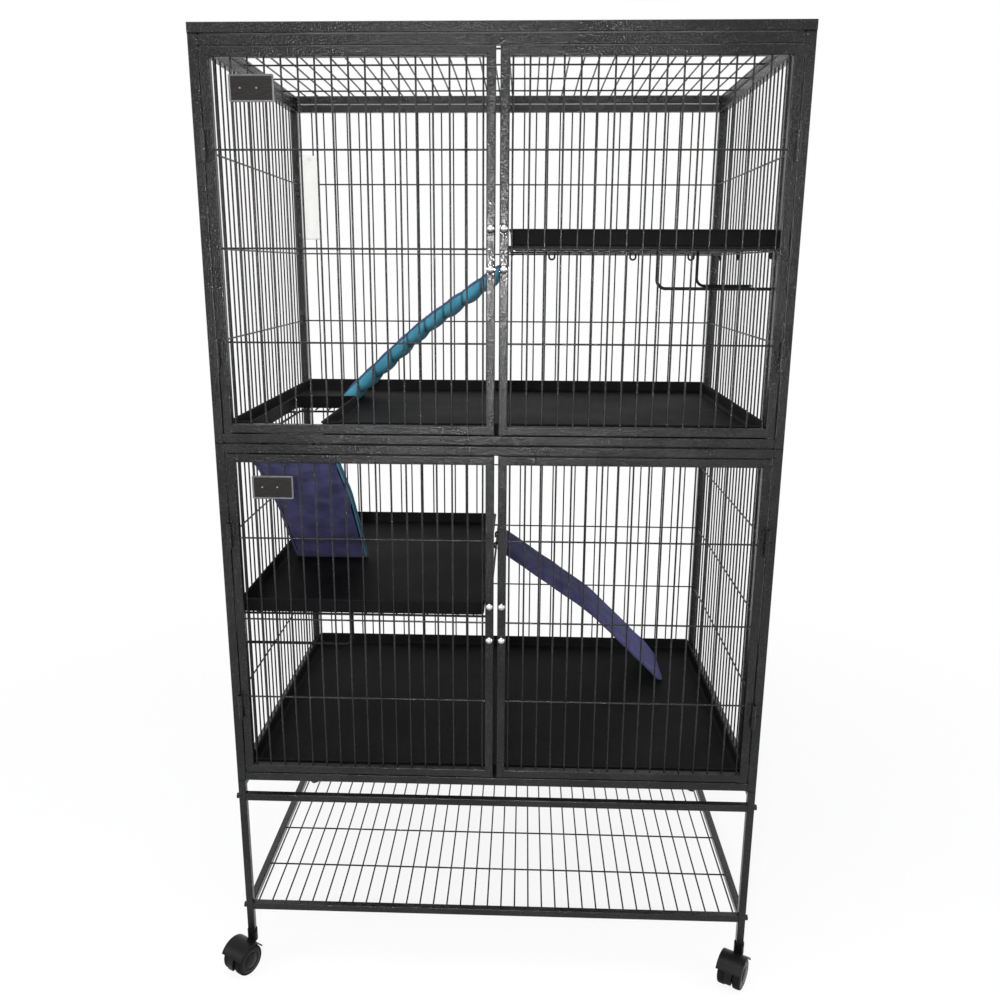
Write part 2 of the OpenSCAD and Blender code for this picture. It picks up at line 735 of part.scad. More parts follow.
// Two legs joined by the side rail that the cage stands on
module stand_end(side) {
    color(frame_colour) difference() {
        union() {
            for (s = [-1, 1]) tube_z(caster_h, stand_h, side * stand_x, s * stand_y, stand_t);
            tube_y(-stand_y + stand_t / 2 - weld, stand_y - stand_t / 2 + weld,
                   side * stand_x, stand_h - stand_t / 2, stand_t);
        }
        for (y = [-1, 1], z = rail_z) translate([side * stand_x - stand_t, y * stand_y, z])
            rotate([0, 90, 0]) cylinder(r = bolt_r + run_fit, h = 2 * stand_t);
    }
}

// Rail from leg to leg, with a threaded plug in each end
module bolted_rail(y, z) {
    end = stand_x - stand_t / 2;
    tube_x(-end, end, y, z, stand_t);
    for (s = [-1, 1]) translate([s * (end - plug_depth / 2 - 1), y, z]) difference() {
        cube([plug_depth, stand_t - tube_wall, stand_t - tube_wall], center = true);
        rotate([0, 90, 0]) cylinder(r = bolt_r + run_fit, h = 2 * plug_depth, center = true);
    }
}

module stand_rail(side) {
    color(frame_colour) bolted_rail(side * stand_y, rail_z[0]);
}

module storage_rack() {
    clear_w = 2 * stand_x - stand_t;
    clear_d = 2 * stand_y - stand_t;
    color(frame_colour) {
        for (s = [-1, 1]) bolted_rail(s * stand_y, rail_z[1]);
        for (s = [-1, 1]) tube_y(-clear_d / 2, clear_d / 2, s * stand_x, rail_z[1], stand_t);
        layer = (bar_d + rack_layer_gap) / 2;
        translate([0, 0, rail_z[1]]) flat_bars(clear_w, clear_d, layer, -layer);
    }
}

module stand_bolts() {
    color(frame_colour) for (x = [-1, 1], y = [-1, 1], z = rail_z)
        translate([x * half_w, y * stand_y, z]) rotate([0, x * 90, 0]) {
            cylinder(r = bolt_head_r, h = bolt_head_h);
            translate([0, 0, -bolt_l]) cylinder(r = bolt_r, h = bolt_l + 1);
        }
}

// ---------- casters ----------

stem_r = 4;
collar_r = 9;
collar_h = 8;
socket_plug = 24;
axle_r = 3.5;
axle_z = wheel_d / 2;
hub_r = 9;
dome = 2;
wheel_gap = 0.8;
axle_in = 3;
cover_r = wheel_d / 2 + 1.5;
hood_t = 2;
wheel_in = caster_web / 2 + wheel_gap;
collar_near = trail - sqrt(max(0, collar_r * collar_r - wheel_in * wheel_in));
collar_low = axle_z + sqrt(max(0, cover_r * cover_r - collar_near * collar_near));
collar_top = caster_h - collar_h / 2 - rest_gap;
CASTERS = [["fl", -1, -1, -90 - front_turn], ["fr", 1, -1, -90 - front_turn],
           ["rl", -1, 1, 90 + rear_turn], ["rr", 1, 1, 90 - rear_turn]];

// Stands its children on a caster's swivel axis, turned so that +X points along the trail
module at_caster(c) {
    translate([c[1] * stand_x, c[2] * stand_y, 0]) rotate([0, 0, c[3]]) children();
}

module caster_sockets() {
    plug = stand_t - 2 * tube_wall - 2 * plug_fit;
    color(socket_colour) for (c = CASTERS)
        translate([c[1] * stand_x, c[2] * stand_y, caster_h]) difference() {
            union() {
                translate([0, 0, -collar_h / 2]) cylinder(r = collar_r, h = collar_h / 2);
                translate([0, 0, (socket_plug - plug_sink) / 2])
                    cube([plug, plug, socket_plug + plug_sink], center = true);
            }
            translate([0, 0, -collar_h]) cylinder(r = stem_r + run_fit, h = 2 * socket_plug);
        }
}

// Body of a twin-wheel caster: stem, collar, and a web between the wheels with a cap over them
module housing() {
    color(caster_colour) difference() {
        union() {
            translate([0, 0, axle_z]) cylinder(r = stem_r, h = caster_h + socket_plug - axle_z - 4);
            translate([0, 0, axle_z]) cylinder(r = caster_web / 2 - weld, h = collar_low + weld - axle_z);
            translate([0, 0, collar_low]) cylinder(r = collar_r, h = collar_top - collar_low);
            translate([trail, caster_web / 2, axle_z]) rotate([90, 0, 0]) linear_extrude(caster_web)
                intersection() {
                    circle(r = cover_r + hood_t);
                    translate([-trail - collar_r, -hub_r]) square([2 * wheel_d, 2 * wheel_d]);
                }
            translate([trail, wheel_w + caster_web / 2, axle_z]) rotate([90, 0, 0])
                linear_extrude(2 * wheel_w + caster_web) difference() {
                    intersection() {
                        circle(r = cover_r + hood_t);
                        translate([-wheel_d, wheel_d / 4]) square([2 * wheel_d, wheel_d]);
                    }
                    circle(r = cover_r);
                }
        }
        translate([trail, wheel_d / 2, axle_z]) rotate([90, 0, 0])
            cylinder(r = axle_r + run_fit, h = wheel_d);
    }
}

module axle() {
    l = 2 * (wheel_w - axle_in) + caster_web;
    color(chrome_colour) translate([trail, l / 2, axle_z]) rotate([90, 0, 0]) cylinder(r = axle_r, h = l);
}

// Half section of one wheel about its axle, from the web outwards
module wheel_section() {
    outer = caster_web / 2 + wheel_w;
    difference() {
        polygon([[0, wheel_in], [wheel_d / 2 - 2, wheel_in], [wheel_d / 2, wheel_in + 2],
                 [wheel_d / 2, outer - 4], [wheel_d / 2 - 4, outer - dome],
                 [hub_r + 6, outer], [hub_r + 4, outer - dome], [hub_r, outer - dome],
                  [hub_r - 2, outer], [0, outer]]);
        translate([-1, wheel_in - 1]) square([axle_r + run_fit + 1, wheel_w - axle_in + rest_gap]);
    }
}

module wheels() {
    color(caster_colour) translate([trail, 0, axle_z]) for (s = [-90, 90])
        rotate([s, 0, 0]) rotate_extrude() wheel_section();
}

// ---------- drawing ----------

stand_end(-1);  // stand_end_left
stand_end(1);  // stand_end_right
stand_rail(-1);  // stand_rail_front
stand_rail(1);  // stand_rail_rear
storage_rack();
stand_bolts();
caster_sockets();
at_caster(CASTERS[0]) housing();  // caster_fl_housing
at_caster(CASTERS[0]) axle();  // caster_fl_axle
at_caster(CASTERS[0]) wheels();  // caster_fl_wheels
at_caster(CASTERS[1]) housing();  // caster_fr_housing
at_caster(CASTERS[1]) axle();  // caster_fr_axle
at_caster(CASTERS[1]) wheels();  // caster_fr_wheels
at_caster(CASTERS[2]) housing();  // caster_rl_housing
at_caster(CASTERS[2]) axle();  // caster_rl_axle
at_caster(CASTERS[2]) wheels();  // caster_rl_wheels
at_caster(CASTERS[3]) housing();  // caster_rr_housing
at_caster(CASTERS[3]) axle();  // caster_rr_axle
at_caster(CASTERS[3]) wheels();  // caster_rr_wheels
side_panel(-1, lower_z);  // lower_side_left
side_panel(1, lower_z);  // lower_side_right
back_panel(lower_z);  // lower_back
sill(lower_z);  // lower_sill
header(lower_z);  // lower_header
floor_grid(lower_z, false);  // lower_floor_grid
floor_tray(lower_z, false);  // lower_tray
shelf_frame(-1, lower_z);  // lower_shelf_frame
shelf_tray(-1, lower_z);  // lower_shelf_tray
hinge_pins(lower_z);  // lower_hinge_pins
door(-1, lower_z);  // lower_door_left
door(1, lower_z);  // lower_door_right
latch_studs(lower_z);  // lower_latch_studs
hook(lower_z + knob_heights[0]);  // lower_hook_top
hook(lower_z + knob_heights[1]);  // lower_hook_bottom
name_plate(lower_z);  // lower_name_plate
side_panel(-1, upper_z);  // upper_side_left
side_panel(1, upper_z);  // upper_side_right
back_panel(upper_z);  // upper_back
sill(upper_z);  // upper_sill
header(upper_z);  // upper_header
floor_grid(upper_z, true);  // upper_floor_grid
floor_tray(upper_z, true);  // upper_tray
shelf_frame(1, upper_z);  // upper_shelf_frame
shelf_tray(1, upper_z);  // upper_shelf_tray
hinge_pins(upper_z);  // upper_hinge_pins
door(-1, upper_z);  // upper_door_left
door(1, upper_z);  // upper_door_right
latch_studs(upper_z);  // upper_latch_studs
hook(upper_z + knob_heights[0]);  // upper_hook_top
hook(upper_z + knob_heights[1]);  // upper_hook_bottom
name_plate(upper_z);  // upper_name_plate
top_panel();
post_caps();
hang_tag(upper_z);
place_upper() ramp_frame(upper_ramp);  // ramp_upper_frame
place_upper() ramp_cover(upper_ramp);  // ramp_upper_cover
place_middle() ramp_frame(middle_ramp);  // ramp_middle_frame
place_middle() ramp_cover(middle_ramp);  // ramp_middle_cover
place_lower() ramp_frame(lower_ramp);  // ramp_lower_frame
place_lower() ramp_cover(lower_ramp);  // ramp_lower_cover
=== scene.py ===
"""Looks of the two-storey wire cage: coated steel, moulded trays, padded ramps, casters and small parts.

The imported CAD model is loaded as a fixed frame. Its steel nodes keep their shapes and get procedural
finishes; the soft, moulded and cast pieces are new surfaces, computed with numpy, that stand for their nodes.
Everything is in metres, +Z up, with the doors facing -Y.
"""

import json
import logging
import math
from dataclasses import dataclass, field
from enum import Enum
from functools import reduce
from typing import Dict, List, Optional, Sequence, Tuple

import bmesh
import bpy
import numpy as np
from mathutils import Matrix, Vector
from mathutils.bvhtree import BVHTree

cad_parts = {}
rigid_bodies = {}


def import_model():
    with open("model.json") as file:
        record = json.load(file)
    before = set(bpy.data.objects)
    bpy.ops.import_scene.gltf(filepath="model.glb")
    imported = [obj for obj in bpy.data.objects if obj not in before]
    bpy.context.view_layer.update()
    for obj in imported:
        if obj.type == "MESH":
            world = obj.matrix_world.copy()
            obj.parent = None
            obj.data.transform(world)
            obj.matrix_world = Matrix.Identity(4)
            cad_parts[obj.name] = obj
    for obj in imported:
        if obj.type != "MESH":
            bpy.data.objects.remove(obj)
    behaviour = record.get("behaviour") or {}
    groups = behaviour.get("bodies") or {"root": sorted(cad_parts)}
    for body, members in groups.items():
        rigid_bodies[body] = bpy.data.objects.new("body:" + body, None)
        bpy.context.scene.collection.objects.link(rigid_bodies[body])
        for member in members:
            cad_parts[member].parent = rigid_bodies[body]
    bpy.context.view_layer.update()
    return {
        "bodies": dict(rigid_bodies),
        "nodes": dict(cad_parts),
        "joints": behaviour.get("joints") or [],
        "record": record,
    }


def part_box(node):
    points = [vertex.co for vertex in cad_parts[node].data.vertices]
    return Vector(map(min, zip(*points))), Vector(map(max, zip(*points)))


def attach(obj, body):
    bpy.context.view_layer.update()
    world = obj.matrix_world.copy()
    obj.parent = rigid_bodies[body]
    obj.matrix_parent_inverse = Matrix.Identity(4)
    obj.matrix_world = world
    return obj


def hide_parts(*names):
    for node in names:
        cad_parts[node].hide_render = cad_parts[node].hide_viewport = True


LOG = logging.getLogger("cage")
Colour = Tuple[float, float, float]
Array = np.ndarray
MM = 0.001


class Slot(Enum):
    """Material slots of the record."""

    FRAME = "frame_paint"
    WIRE = "wire_paint"
    TRAY = "tray_plastic"
    COVER = "cover_fabric"
    BRIGHT = "bright_metal"
    AXLE = "axle_steel"
    CASTER = "caster_plastic"
    CAP = "cap_plastic"
    PLATE = "plate_metal"
    TAG = "tag_paper"
    BOLT = "bolt_metal"


# ---------------------------------------------------------------- meshes


def mesh_object(
    name: str,
    verts: Array,
    faces: Sequence[Sequence[int]],
    materials: Sequence[bpy.types.Material],
    face_material: Optional[Array] = None,
    smooth: bool = True,
) -> bpy.types.Object:
    """Makes an untransformed object from points and faces.

    Args:
        name: Object and mesh name.
        verts: Points in metres, one row each.
        faces: Corner indices of each face, facing outwards.
        materials: Materials in slot order.
        face_material: Slot index of each face; the first slot where it is left out.
        smooth: True for smooth shading.

    Returns:
        The new object, linked to the scene.
    """
    mesh = bpy.data.meshes.new(name)
    mesh.from_pydata([tuple(v) for v in np.asarray(verts, float)], [], [tuple(map(int, f)) for f in faces])
    for material in materials:
        mesh.materials.append(material)
    count = len(mesh.polygons)
    if face_material is not None:
        mesh.polygons.foreach_set("material_index", np.asarray(face_material, np.int32))
    mesh.polygons.foreach_set("use_smooth", np.full(count, smooth))
    mesh.update()
    obj = bpy.data.objects.new(name, mesh)
    bpy.context.scene.collection.objects.link(obj)
    LOG.info("%s: %d points, %d faces", name, len(verts), count)
    return obj


def ring_faces(rings: int, around: int, closed: bool = False, start: int = 0) -> List[Tuple[int, int, int, int]]:
    """Quads between successive rings of points.

    Args:
        rings: Number of rings.
        around: Points in each ring, which is closed on itself.
        closed: True where the last ring joins the first.
        start: Index of the first ring's first point.

    Returns:
        The quads, wound so that rings that advance along +Z and turn anticlockwise face outwards.
    """
    i = np.arange(rings if closed else rings - 1)[:, None]
    j = np.arange(around)[None, :]
    a = start + i * around + j
    b = start + i * around + (j + 1) % around
    c = start + ((i + 1) % rings) * around + (j + 1) % around
    d = start + ((i + 1) % rings) * around + j
    return [tuple(q) for q in np.stack([a, b, c, d], -1).reshape(-1, 4)]


def capped_faces(rings: int, around: int) -> List[Tuple[int, ...]]:
    """Quads between successive rings, and a cap over the last and the first."""
    last = (rings - 1) * around
    caps = [tuple(range(last, last + around)), tuple(reversed(range(around)))]
    return [*ring_faces(rings, around), *caps]


def point_attribute(obj: bpy.types.Object, name: str, values: Array) -> None:
    """Stores one number for each point of a mesh, for its material to read."""
    layer = obj.data.attributes.new(name, "FLOAT", "POINT")
    layer.data.foreach_set("value", np.asarray(values, np.float32))


def corner_uv(obj: bpy.types.Object, uv: Array) -> None:
    """Stores a UV map, in metres, from one pair of numbers for each point."""
    layer = obj.data.uv_layers.new(name="UVMap")
    corners = np.zeros(len(obj.data.loops), np.int32)
    obj.data.loops.foreach_get("vertex_index", corners)
    layer.data.foreach_set("uv", np.asarray(uv, np.float32)[corners].ravel())


def tube_along(
    path: Array, radius: float, sides: int = 8, closed: bool = False
) -> Tuple[Array, List[Tuple[int, ...]]]:
    """Round tube along a path.

    The frame of each ring is the path's direction t with n = t x z and b = n x t, so the path isn't vertical.

    Args:
        path: Points of the path.
        radius: Radius of the tube.
        sides: Points in each ring.
        closed: True where the path is a loop.

    Returns:
        Points and faces, with a flat cap at each end of an open path.
    """
    if closed:
        direction = np.roll(path, -1, 0) - np.roll(path, 1, 0)
    else:
        direction = np.gradient(path, axis=0)
    direction /= np.linalg.norm(direction, axis=1, keepdims=True)
    up = np.array([0.0, 0.0, 1.0])
    normal = np.cross(direction, up)
    length = np.linalg.norm(normal, axis=1, keepdims=True)
    normal = np.where(length > 1e-6, normal / np.maximum(length, 1e-9), np.array([1.0, 0.0, 0.0]))
    binormal = np.cross(normal, direction)
    angle = np.linspace(0, 2 * math.pi, sides, endpoint=False)
    verts = (
        path[:, None, :]
        + radius * np.cos(angle)[None, :, None] * normal[:, None, :]
        + radius * np.sin(angle)[None, :, None] * binormal[:, None, :]
    ).reshape(-1, 3)
    faces: List[Tuple[int, ...]] = [tuple(reversed(q)) for q in ring_faces(len(path), sides, closed)]
    if not closed:
        faces.append(tuple(range(sides)))
        faces.append(tuple(reversed(range((len(path) - 1) * sides, len(path) * sides))))
    return verts, faces


def lathe(profile: Array, centre: Array, axis: Array, sides: int = 64) -> Tuple[Array, List[Tuple[int, ...]]]:
    """Surface of revolution of a profile.

    A point of the profile at radius r and place a goes to centre + a * axis + r * (cos t * u + sin t * v),
    where u and v stand square to the axis.

    Args:
        profile: Pairs of radius and place along the axis, from one end to the other.
        centre: Point on the axis.
        axis: Unit direction of the axis.
        sides: Points in each ring.

    Returns:
        Points and faces, with a flat cap at each end.
    """
    u = np.cross(axis, np.array([0.0, 0.0, 1.0]))
    if np.linalg.norm(u) < 1e-6:
        u = np.array([1.0, 0.0, 0.0])
    u /= np.linalg.norm(u)
    v = np.cross(axis, u)
    angle = np.linspace(0, 2 * math.pi, sides, endpoint=False)
    ring = np.cos(angle)[:, None] * u + np.sin(angle)[:, None] * v
    verts = centre + profile[:, 1, None, None] * axis + profile[:, 0, None, None] * ring[None, :, :]
    return verts.reshape(-1, 3), capped_faces(len(profile), sides)


def joined(parts: Sequence[Tuple[Array, Sequence[Sequence[int]]]]) -> Tuple[Array, List[Tuple[int, ...]], Array]:
    """Joins several closed surfaces into one list of points and faces, with the part's number for each face."""
    start = 0
    faces: List[Tuple[int, ...]] = []
    owner: List[Array] = []
    for index, (verts, part) in enumerate(parts):
        faces += [tuple(int(i) + start for i in face) for face in part]
        owner.append(np.full(len(part), index))
        start += len(verts)
    return np.concatenate([v for v, _ in parts]), faces, np.concatenate(owner)


def outward(obj: bpy.types.Object) -> bpy.types.Object:
    """Turns a closed mesh's faces outwards."""
    mesh = bmesh.new()
    mesh.from_mesh(obj.data)
    bmesh.ops.recalc_face_normals(mesh, faces=mesh.faces)
    mesh.to_mesh(obj.data)
    mesh.free()
    return obj


def points_of(mesh: bpy.types.Mesh) -> Array:
    """Points of a mesh, one row each."""
    flat = np.zeros(3 * len(mesh.vertices), np.float32)
    mesh.vertices.foreach_get("co", flat)
    return flat.reshape(-1, 3).astype(float)


def bake_modifiers(obj: bpy.types.Object) -> None:
    """Replaces an object's mesh with the mesh that its modifiers make, and removes them."""
    graph = bpy.context.evaluated_depsgraph_get()
    mesh = bpy.data.meshes.new_from_object(obj.evaluated_get(graph))
    old = obj.data
    obj.modifiers.clear()
    obj.data = mesh
    bpy.data.meshes.remove(old)


# ---------------------------------------------------------------- shader graphs


@dataclass
class Graph:
    """A node tree with short calls to add and link nodes.

    Attributes:
        tree: The tree that the nodes go into.
    """

    tree: bpy.types.NodeTree

    def feed(self, node: bpy.types.Node, inputs: Dict[object, object]) -> bpy.types.Node:
        """Gives a node's inputs their values, or links them to the sockets that feed them.

        Args:
            node: The node.
            inputs: Input's name or index, and the value or output socket that it takes.

        Returns:
            The same node.
        """
        for key, value in inputs.items():
            if isinstance(value, bpy.types.NodeSocket):
                self.tree.links.new(value, node.inputs[key])
            else:
                node.inputs[key].default_value = value
        return node

    def add(self, kind: str, inputs: Optional[Dict[object, object]] = None, **props: object) -> bpy.types.Node:
        """Adds a node.

        Args:
            kind: Node type's name without its ShaderNode prefix.
            inputs: What its inputs take, as in feed.
            props: Properties of the node.

        Returns:
            The new node.
        """
        node = self.tree.nodes.new("ShaderNode" + kind)
        for key, value in props.items():
            setattr(node, key, value)
        return self.feed(node, inputs or {})

    def use(self, group: bpy.types.NodeTree, inputs: Dict[object, object]) -> Dict[str, bpy.types.NodeSocket]:
        """Adds a shared node group, and gives its outputs."""
        return self.add("Group", inputs, node_tree=group).outputs

    def math(self, operation: str, a: object, b: object = 0.0, clamp: bool = False) -> bpy.types.NodeSocket:
        """Result of one Math node."""
        return self.add("Math", {0: a, 1: b}, operation=operation, use_clamp=clamp).outputs[0]

    def times(self, *values: object) -> bpy.types.NodeSocket:
        """Product of two or more values."""
        return reduce(lambda a, b: self.math("MULTIPLY", a, b), values)

    def plus(self, a: object, b: object) -> bpy.types.NodeSocket:
        """Sum of two values."""
        return self.math("ADD", a, b)

    def vector(self, operation: str, a: object, b: object = (0.0, 0.0, 0.0)) -> bpy.types.NodeSocket:
        """Result of one Vector Math node, where b is the factor if it scales."""
        second = "Scale" if operation == "SCALE" else 1
        return self.add("VectorMath", {0: a, second: b}, operation=operation).outputs[0]

    def parts(self, vector: object) -> Dict[int, bpy.types.NodeSocket]:
        """X, Y and Z of a vector."""
        return self.add("SeparateXYZ", {0: vector}).outputs

    def noise(self, vector: object, scale: float, detail: float = 3.0, rough: float = 0.55) -> bpy.types.NodeSocket:
        """Value of a noise texture."""
        node = self.add("TexNoise", {"Vector": vector, "Scale": scale, "Detail": detail, "Roughness": rough})
        return node.outputs["Fac"]

    def ramp(
        self, value: object, low: float, high: float, to_low: float = 0.0, to_high: float = 1.0
    ) -> bpy.types.NodeSocket:
        """Smooth map of a value from one range to another."""
        inputs = {"Value": value, "From Min": low, "From Max": high, "To Min": to_low, "To Max": to_high}
        return self.add("MapRange", inputs, interpolation_type="SMOOTHSTEP").outputs["Result"]

    def mix(self, factor: object, a: object, b: object, blend: str = "MIX") -> bpy.types.NodeSocket:
        """Mix of two colours."""
        a, b = (c if isinstance(c, bpy.types.NodeSocket) else (*c, 1.0) for c in (a, b))
        return self.add("Mix", {0: factor, 6: a, 7: b}, data_type="RGBA", blend_type=blend).outputs[2]

    def bump(
        self, height: object, distance: float, strength: float = 1.0, normal: object = None
    ) -> bpy.types.NodeSocket:
        """Normal from a height, whose full range stands for distance in metres."""
        inputs: Dict[object, object] = {"Height": height, "Distance": distance, "Strength": strength}
        if normal is not None:
            inputs["Normal"] = normal
        return self.add("Bump", inputs).outputs["Normal"]


def new_group(
    name: str, inputs: Dict[str, float], outputs: Sequence[str], vectors: Sequence[str] = ()
) -> Tuple[Graph, Dict[str, bpy.types.NodeSocket], bpy.types.Node]:
    """Starts a node group with named sockets.

    Args:
        name: Name of the group.
        inputs: Name and starting value of each number that it takes, after its Vector.
        outputs: Name of each number that it gives.
        vectors: Name of each vector that it gives.

    Returns:
        The group's graph, what it takes, and its output node.
    """
    tree = bpy.data.node_groups.new(name, "ShaderNodeTree")
    tree.interface.new_socket(name="Vector", in_out="INPUT", socket_type="NodeSocketVector")
    for key, value in inputs.items():
        socket = tree.interface.new_socket(name=key, in_out="INPUT", socket_type="NodeSocketFloat")
        socket.default_value = value
    for kind, keys in (("NodeSocketFloat", outputs), ("NodeSocketVector", vectors)):
        for key in keys:
            tree.interface.new_socket(name=key, in_out="OUTPUT", socket_type=kind)
    return Graph(tree), tree.nodes.new("NodeGroupInput").outputs, tree.nodes.new("NodeGroupOutput")


class Effects:
    """Node groups that several finishes share."""

    def __init__(self) -> None:
        self.hammer = self._hammer()
        self.grain = self._grain()
        self.dust = self._dust()
        self.weave = self._weave()

    @staticmethod
    def _hammer() -> bpy.types.NodeTree:
        """Hammered coating: Height of its cells, Fleck mask and Tilt of the metallic specks, and a slow Tone."""
        scales = {"Cell Scale": 300.0, "Fleck Scale": 900.0}
        g, takes, gives = new_group("hammer_coat", scales, ("Height", "Fleck", "Tone"), ("Tilt",))
        vector = takes["Vector"]
        warp = g.add("TexNoise", {"Vector": vector, "Scale": 300.0, "Detail": 2.0}).outputs["Color"]
        moved = g.vector("ADD", vector, g.vector("MULTIPLY", warp, (0.002, 0.002, 0.002)))
        cells = g.add("TexVoronoi", {"Vector": moved, "Scale": takes["Cell Scale"]}, feature="SMOOTH_F1")
        cells.inputs["Smoothness"].default_value = 0.6
        flecks = g.add("TexVoronoi", {"Vector": vector, "Scale": takes["Fleck Scale"]}).outputs
        near = g.ramp(flecks["Distance"], 0.45, 0.2)
        chance = g.add("SeparateColor", {0: flecks["Color"]}).outputs[0]
        fleck = g.math("MULTIPLY", near, g.ramp(chance, 0.5, 0.7), True)
        centred = g.vector("SUBTRACT", flecks["Color"], (0.5, 0.5, 0.5))
        height = g.ramp(cells.outputs["Distance"], 0.05, 0.75)
        tilt = g.vector("SCALE", centred, fleck)
        g.feed(gives, {"Height": height, "Fleck": fleck, "Tone": g.noise(vector, 9.0, 4.0), "Tilt": tilt})
        return g.tree

    @staticmethod
    def _grain() -> bpy.types.NodeTree:
        """Moulded leather grain: Height, and a Scratch mask of fine straight marks."""
        g, takes, gives = new_group("moulded_grain", {"Scale": 420.0}, ("Height", "Scratch"))
        vector = takes["Vector"]
        cells = g.add("TexVoronoi", {"Vector": vector, "Scale": takes["Scale"]}, feature="DISTANCE_TO_EDGE")
        turned = g.add("Mapping", {"Vector": vector, "Rotation": (0.0, 0.0, 0.5), "Scale": (900.0, 9.0, 40.0)})
        marks = g.noise(turned.outputs[0], 1.0, 2.0)
        g.feed(gives, {"Height": g.ramp(cells.outputs["Distance"], 0.0, 0.22), "Scratch": g.ramp(marks, 0.66, 0.74)})
        return g.tree

    @staticmethod
    def _dust() -> bpy.types.NodeTree:
        """Dust that settles where a surface faces up: Amount."""
        g, takes, gives = new_group("settled_dust", {}, ("Amount",))
        facing = g.parts(g.add("NewGeometry").outputs["Normal"])[2]
        patches = g.ramp(g.noise(takes["Vector"], 14.0, 5.0), 0.38, 0.75)
        specks = g.ramp(g.noise(takes["Vector"], 700.0, 2.0), 0.45, 0.8)
        settled = g.plus(g.times(patches, 0.6), g.times(specks, 0.4))
        g.feed(gives, {"Amount": g.times(g.ramp(facing, 0.5, 1.0), settled)})
        return g.tree

    @staticmethod
    def _weave() -> bpy.types.NodeTree:
        """Plain weave on a UV map in metres: Height of the threads, a slow Tone of the dye, and Fuzz."""
        g, takes, gives = new_group("plain_weave", {"Threads": 900.0}, ("Height", "Tone", "Fuzz"))
        vector = takes["Vector"]
        place = g.parts(vector)
        waves = []
        for axis in (0, 1):
            turns = g.times(place[axis], takes["Threads"])
            waves.append(g.math("ABSOLUTE", g.math("SINE", g.times(turns, math.pi))))
        tone, fuzz = g.noise(vector, 22.0, 4.0), g.noise(vector, 1500.0, 2.0)
        g.feed(gives, {"Height": g.math("MAXIMUM", waves[0], waves[1]), "Tone": tone, "Fuzz": fuzz})
        return g.tree


@dataclass(frozen=True)
class Finish:
    """A surface finish. Each kind builds its own material.

    Attributes:
        name: Name of the material.
    """

    name: str

    def build(self, effects: Effects) -> bpy.types.Material:
        """Makes the material."""
        raise NotImplementedError

    def start(self) -> Tuple[bpy.types.Material, Graph, bpy.types.Node, bpy.types.NodeSocket]:
        """Starts a material.

        Returns:
            The material, its graph, its Principled node, and its Object coordinates.
        """
        material = bpy.data.materials.new(self.name)
        material.use_nodes = True
        graph = Graph(material.node_tree)
        shader = next(n for n in material.node_tree.nodes if n.type == "BSDF_PRINCIPLED")
        place = graph.add("TexCoord").outputs["Object"]
        return material, graph, shader, place


@dataclass(frozen=True)
class HammerCoat(Finish):
    """Hammered grey coating with metallic flecks that lie at their own small angles."""

    dark: Colour = (0.0016, 0.0016, 0.0017)
    light: Colour = (0.0065, 0.0065, 0.0068)
    fleck: Colour = (0.34, 0.34, 0.35)
    dust: Colour = (0.20, 0.195, 0.185)
    fleck_share: float = 0.24
    cell_scale: float = 400.0
    relief: float = 0.0007
    roughness: float = 0.29
    tilt: float = 0.5
    specular: float = 0.17
    gloss: float = 0.22
    gloss_roughness: float = 0.13
    ripple: float = 0.0003

    def build(self, effects: Effects) -> bpy.types.Material:
        """Makes the coat: base colour, flecks that lean, and a thin glossy layer with its own ripple."""
        material, g, shader, place = self.start()
        coat = g.use(effects.hammer, {"Vector": place, "Cell Scale": self.cell_scale})
        dust = g.use(effects.dust, {"Vector": place})["Amount"]
        tone = g.ramp(coat["Tone"], 0.3, 0.7)
        shade = g.plus(g.times(coat["Height"], 0.55), g.times(tone, 0.45))
        fleck = g.times(coat["Fleck"], self.fleck_share, g.ramp(coat["Tone"], 0.35, 0.62, 0.25, 1.0))
        base = g.mix(fleck, g.mix(shade, self.dark, self.light), self.fleck)
        rough = g.plus(g.times(tone, 0.12), self.roughness - 0.06)
        bumped = g.bump(coat["Height"], self.relief, 0.55)
        leaning = g.vector("ADD", bumped, g.vector("SCALE", coat["Tilt"], self.tilt))
        g.feed(shader, {
            "Base Color": g.mix(g.times(dust, 0.08), base, self.dust),
            "Metallic": g.math("ADD", g.times(fleck, 0.9), 0.05, True),
            "Roughness": g.math("SUBTRACT", rough, g.times(fleck, 0.2)),
            "Normal": g.vector("NORMALIZE", leaning),
            "Specular IOR Level": self.specular,
            "Coat Weight": self.gloss,
            "Coat Roughness": self.gloss_roughness,
            "Coat Normal": g.bump(coat["Height"], self.ripple),
        })
        return material


@dataclass(frozen=True)
class WireCoat(Finish):
    """Thin dark coating on drawn wire, with a few pale specks."""

    dark: Colour = (0.0020, 0.0020, 0.0022)
    light: Colour = (0.0070, 0.0070, 0.0075)
    speck: Colour = (0.06, 0.06, 0.063)
    cell_scale: float = 900.0
    relief: float = 0.00012
    roughness: float = 0.42
    specular: float = 0.12

    def build(self, effects: Effects) -> bpy.types.Material:
        """Makes the coat from the same cells, finer and duller."""
        material, g, shader, place = self.start()
        coat = g.use(effects.hammer, {"Vector": place, "Cell Scale": self.cell_scale})
        shade = g.times(coat["Height"], g.ramp(coat["Tone"], 0.35, 0.7))
        base = g.mix(shade, self.dark, self.light)
        g.feed(shader, {
            "Base Color": g.mix(g.times(coat["Fleck"], 0.22), base, self.speck),
            "Roughness": g.plus(g.times(coat["Height"], 0.12), self.roughness - 0.05),
            "Normal": g.bump(coat["Height"], self.relief, 0.5),
            "Specular IOR Level": self.specular,
        })
        return material


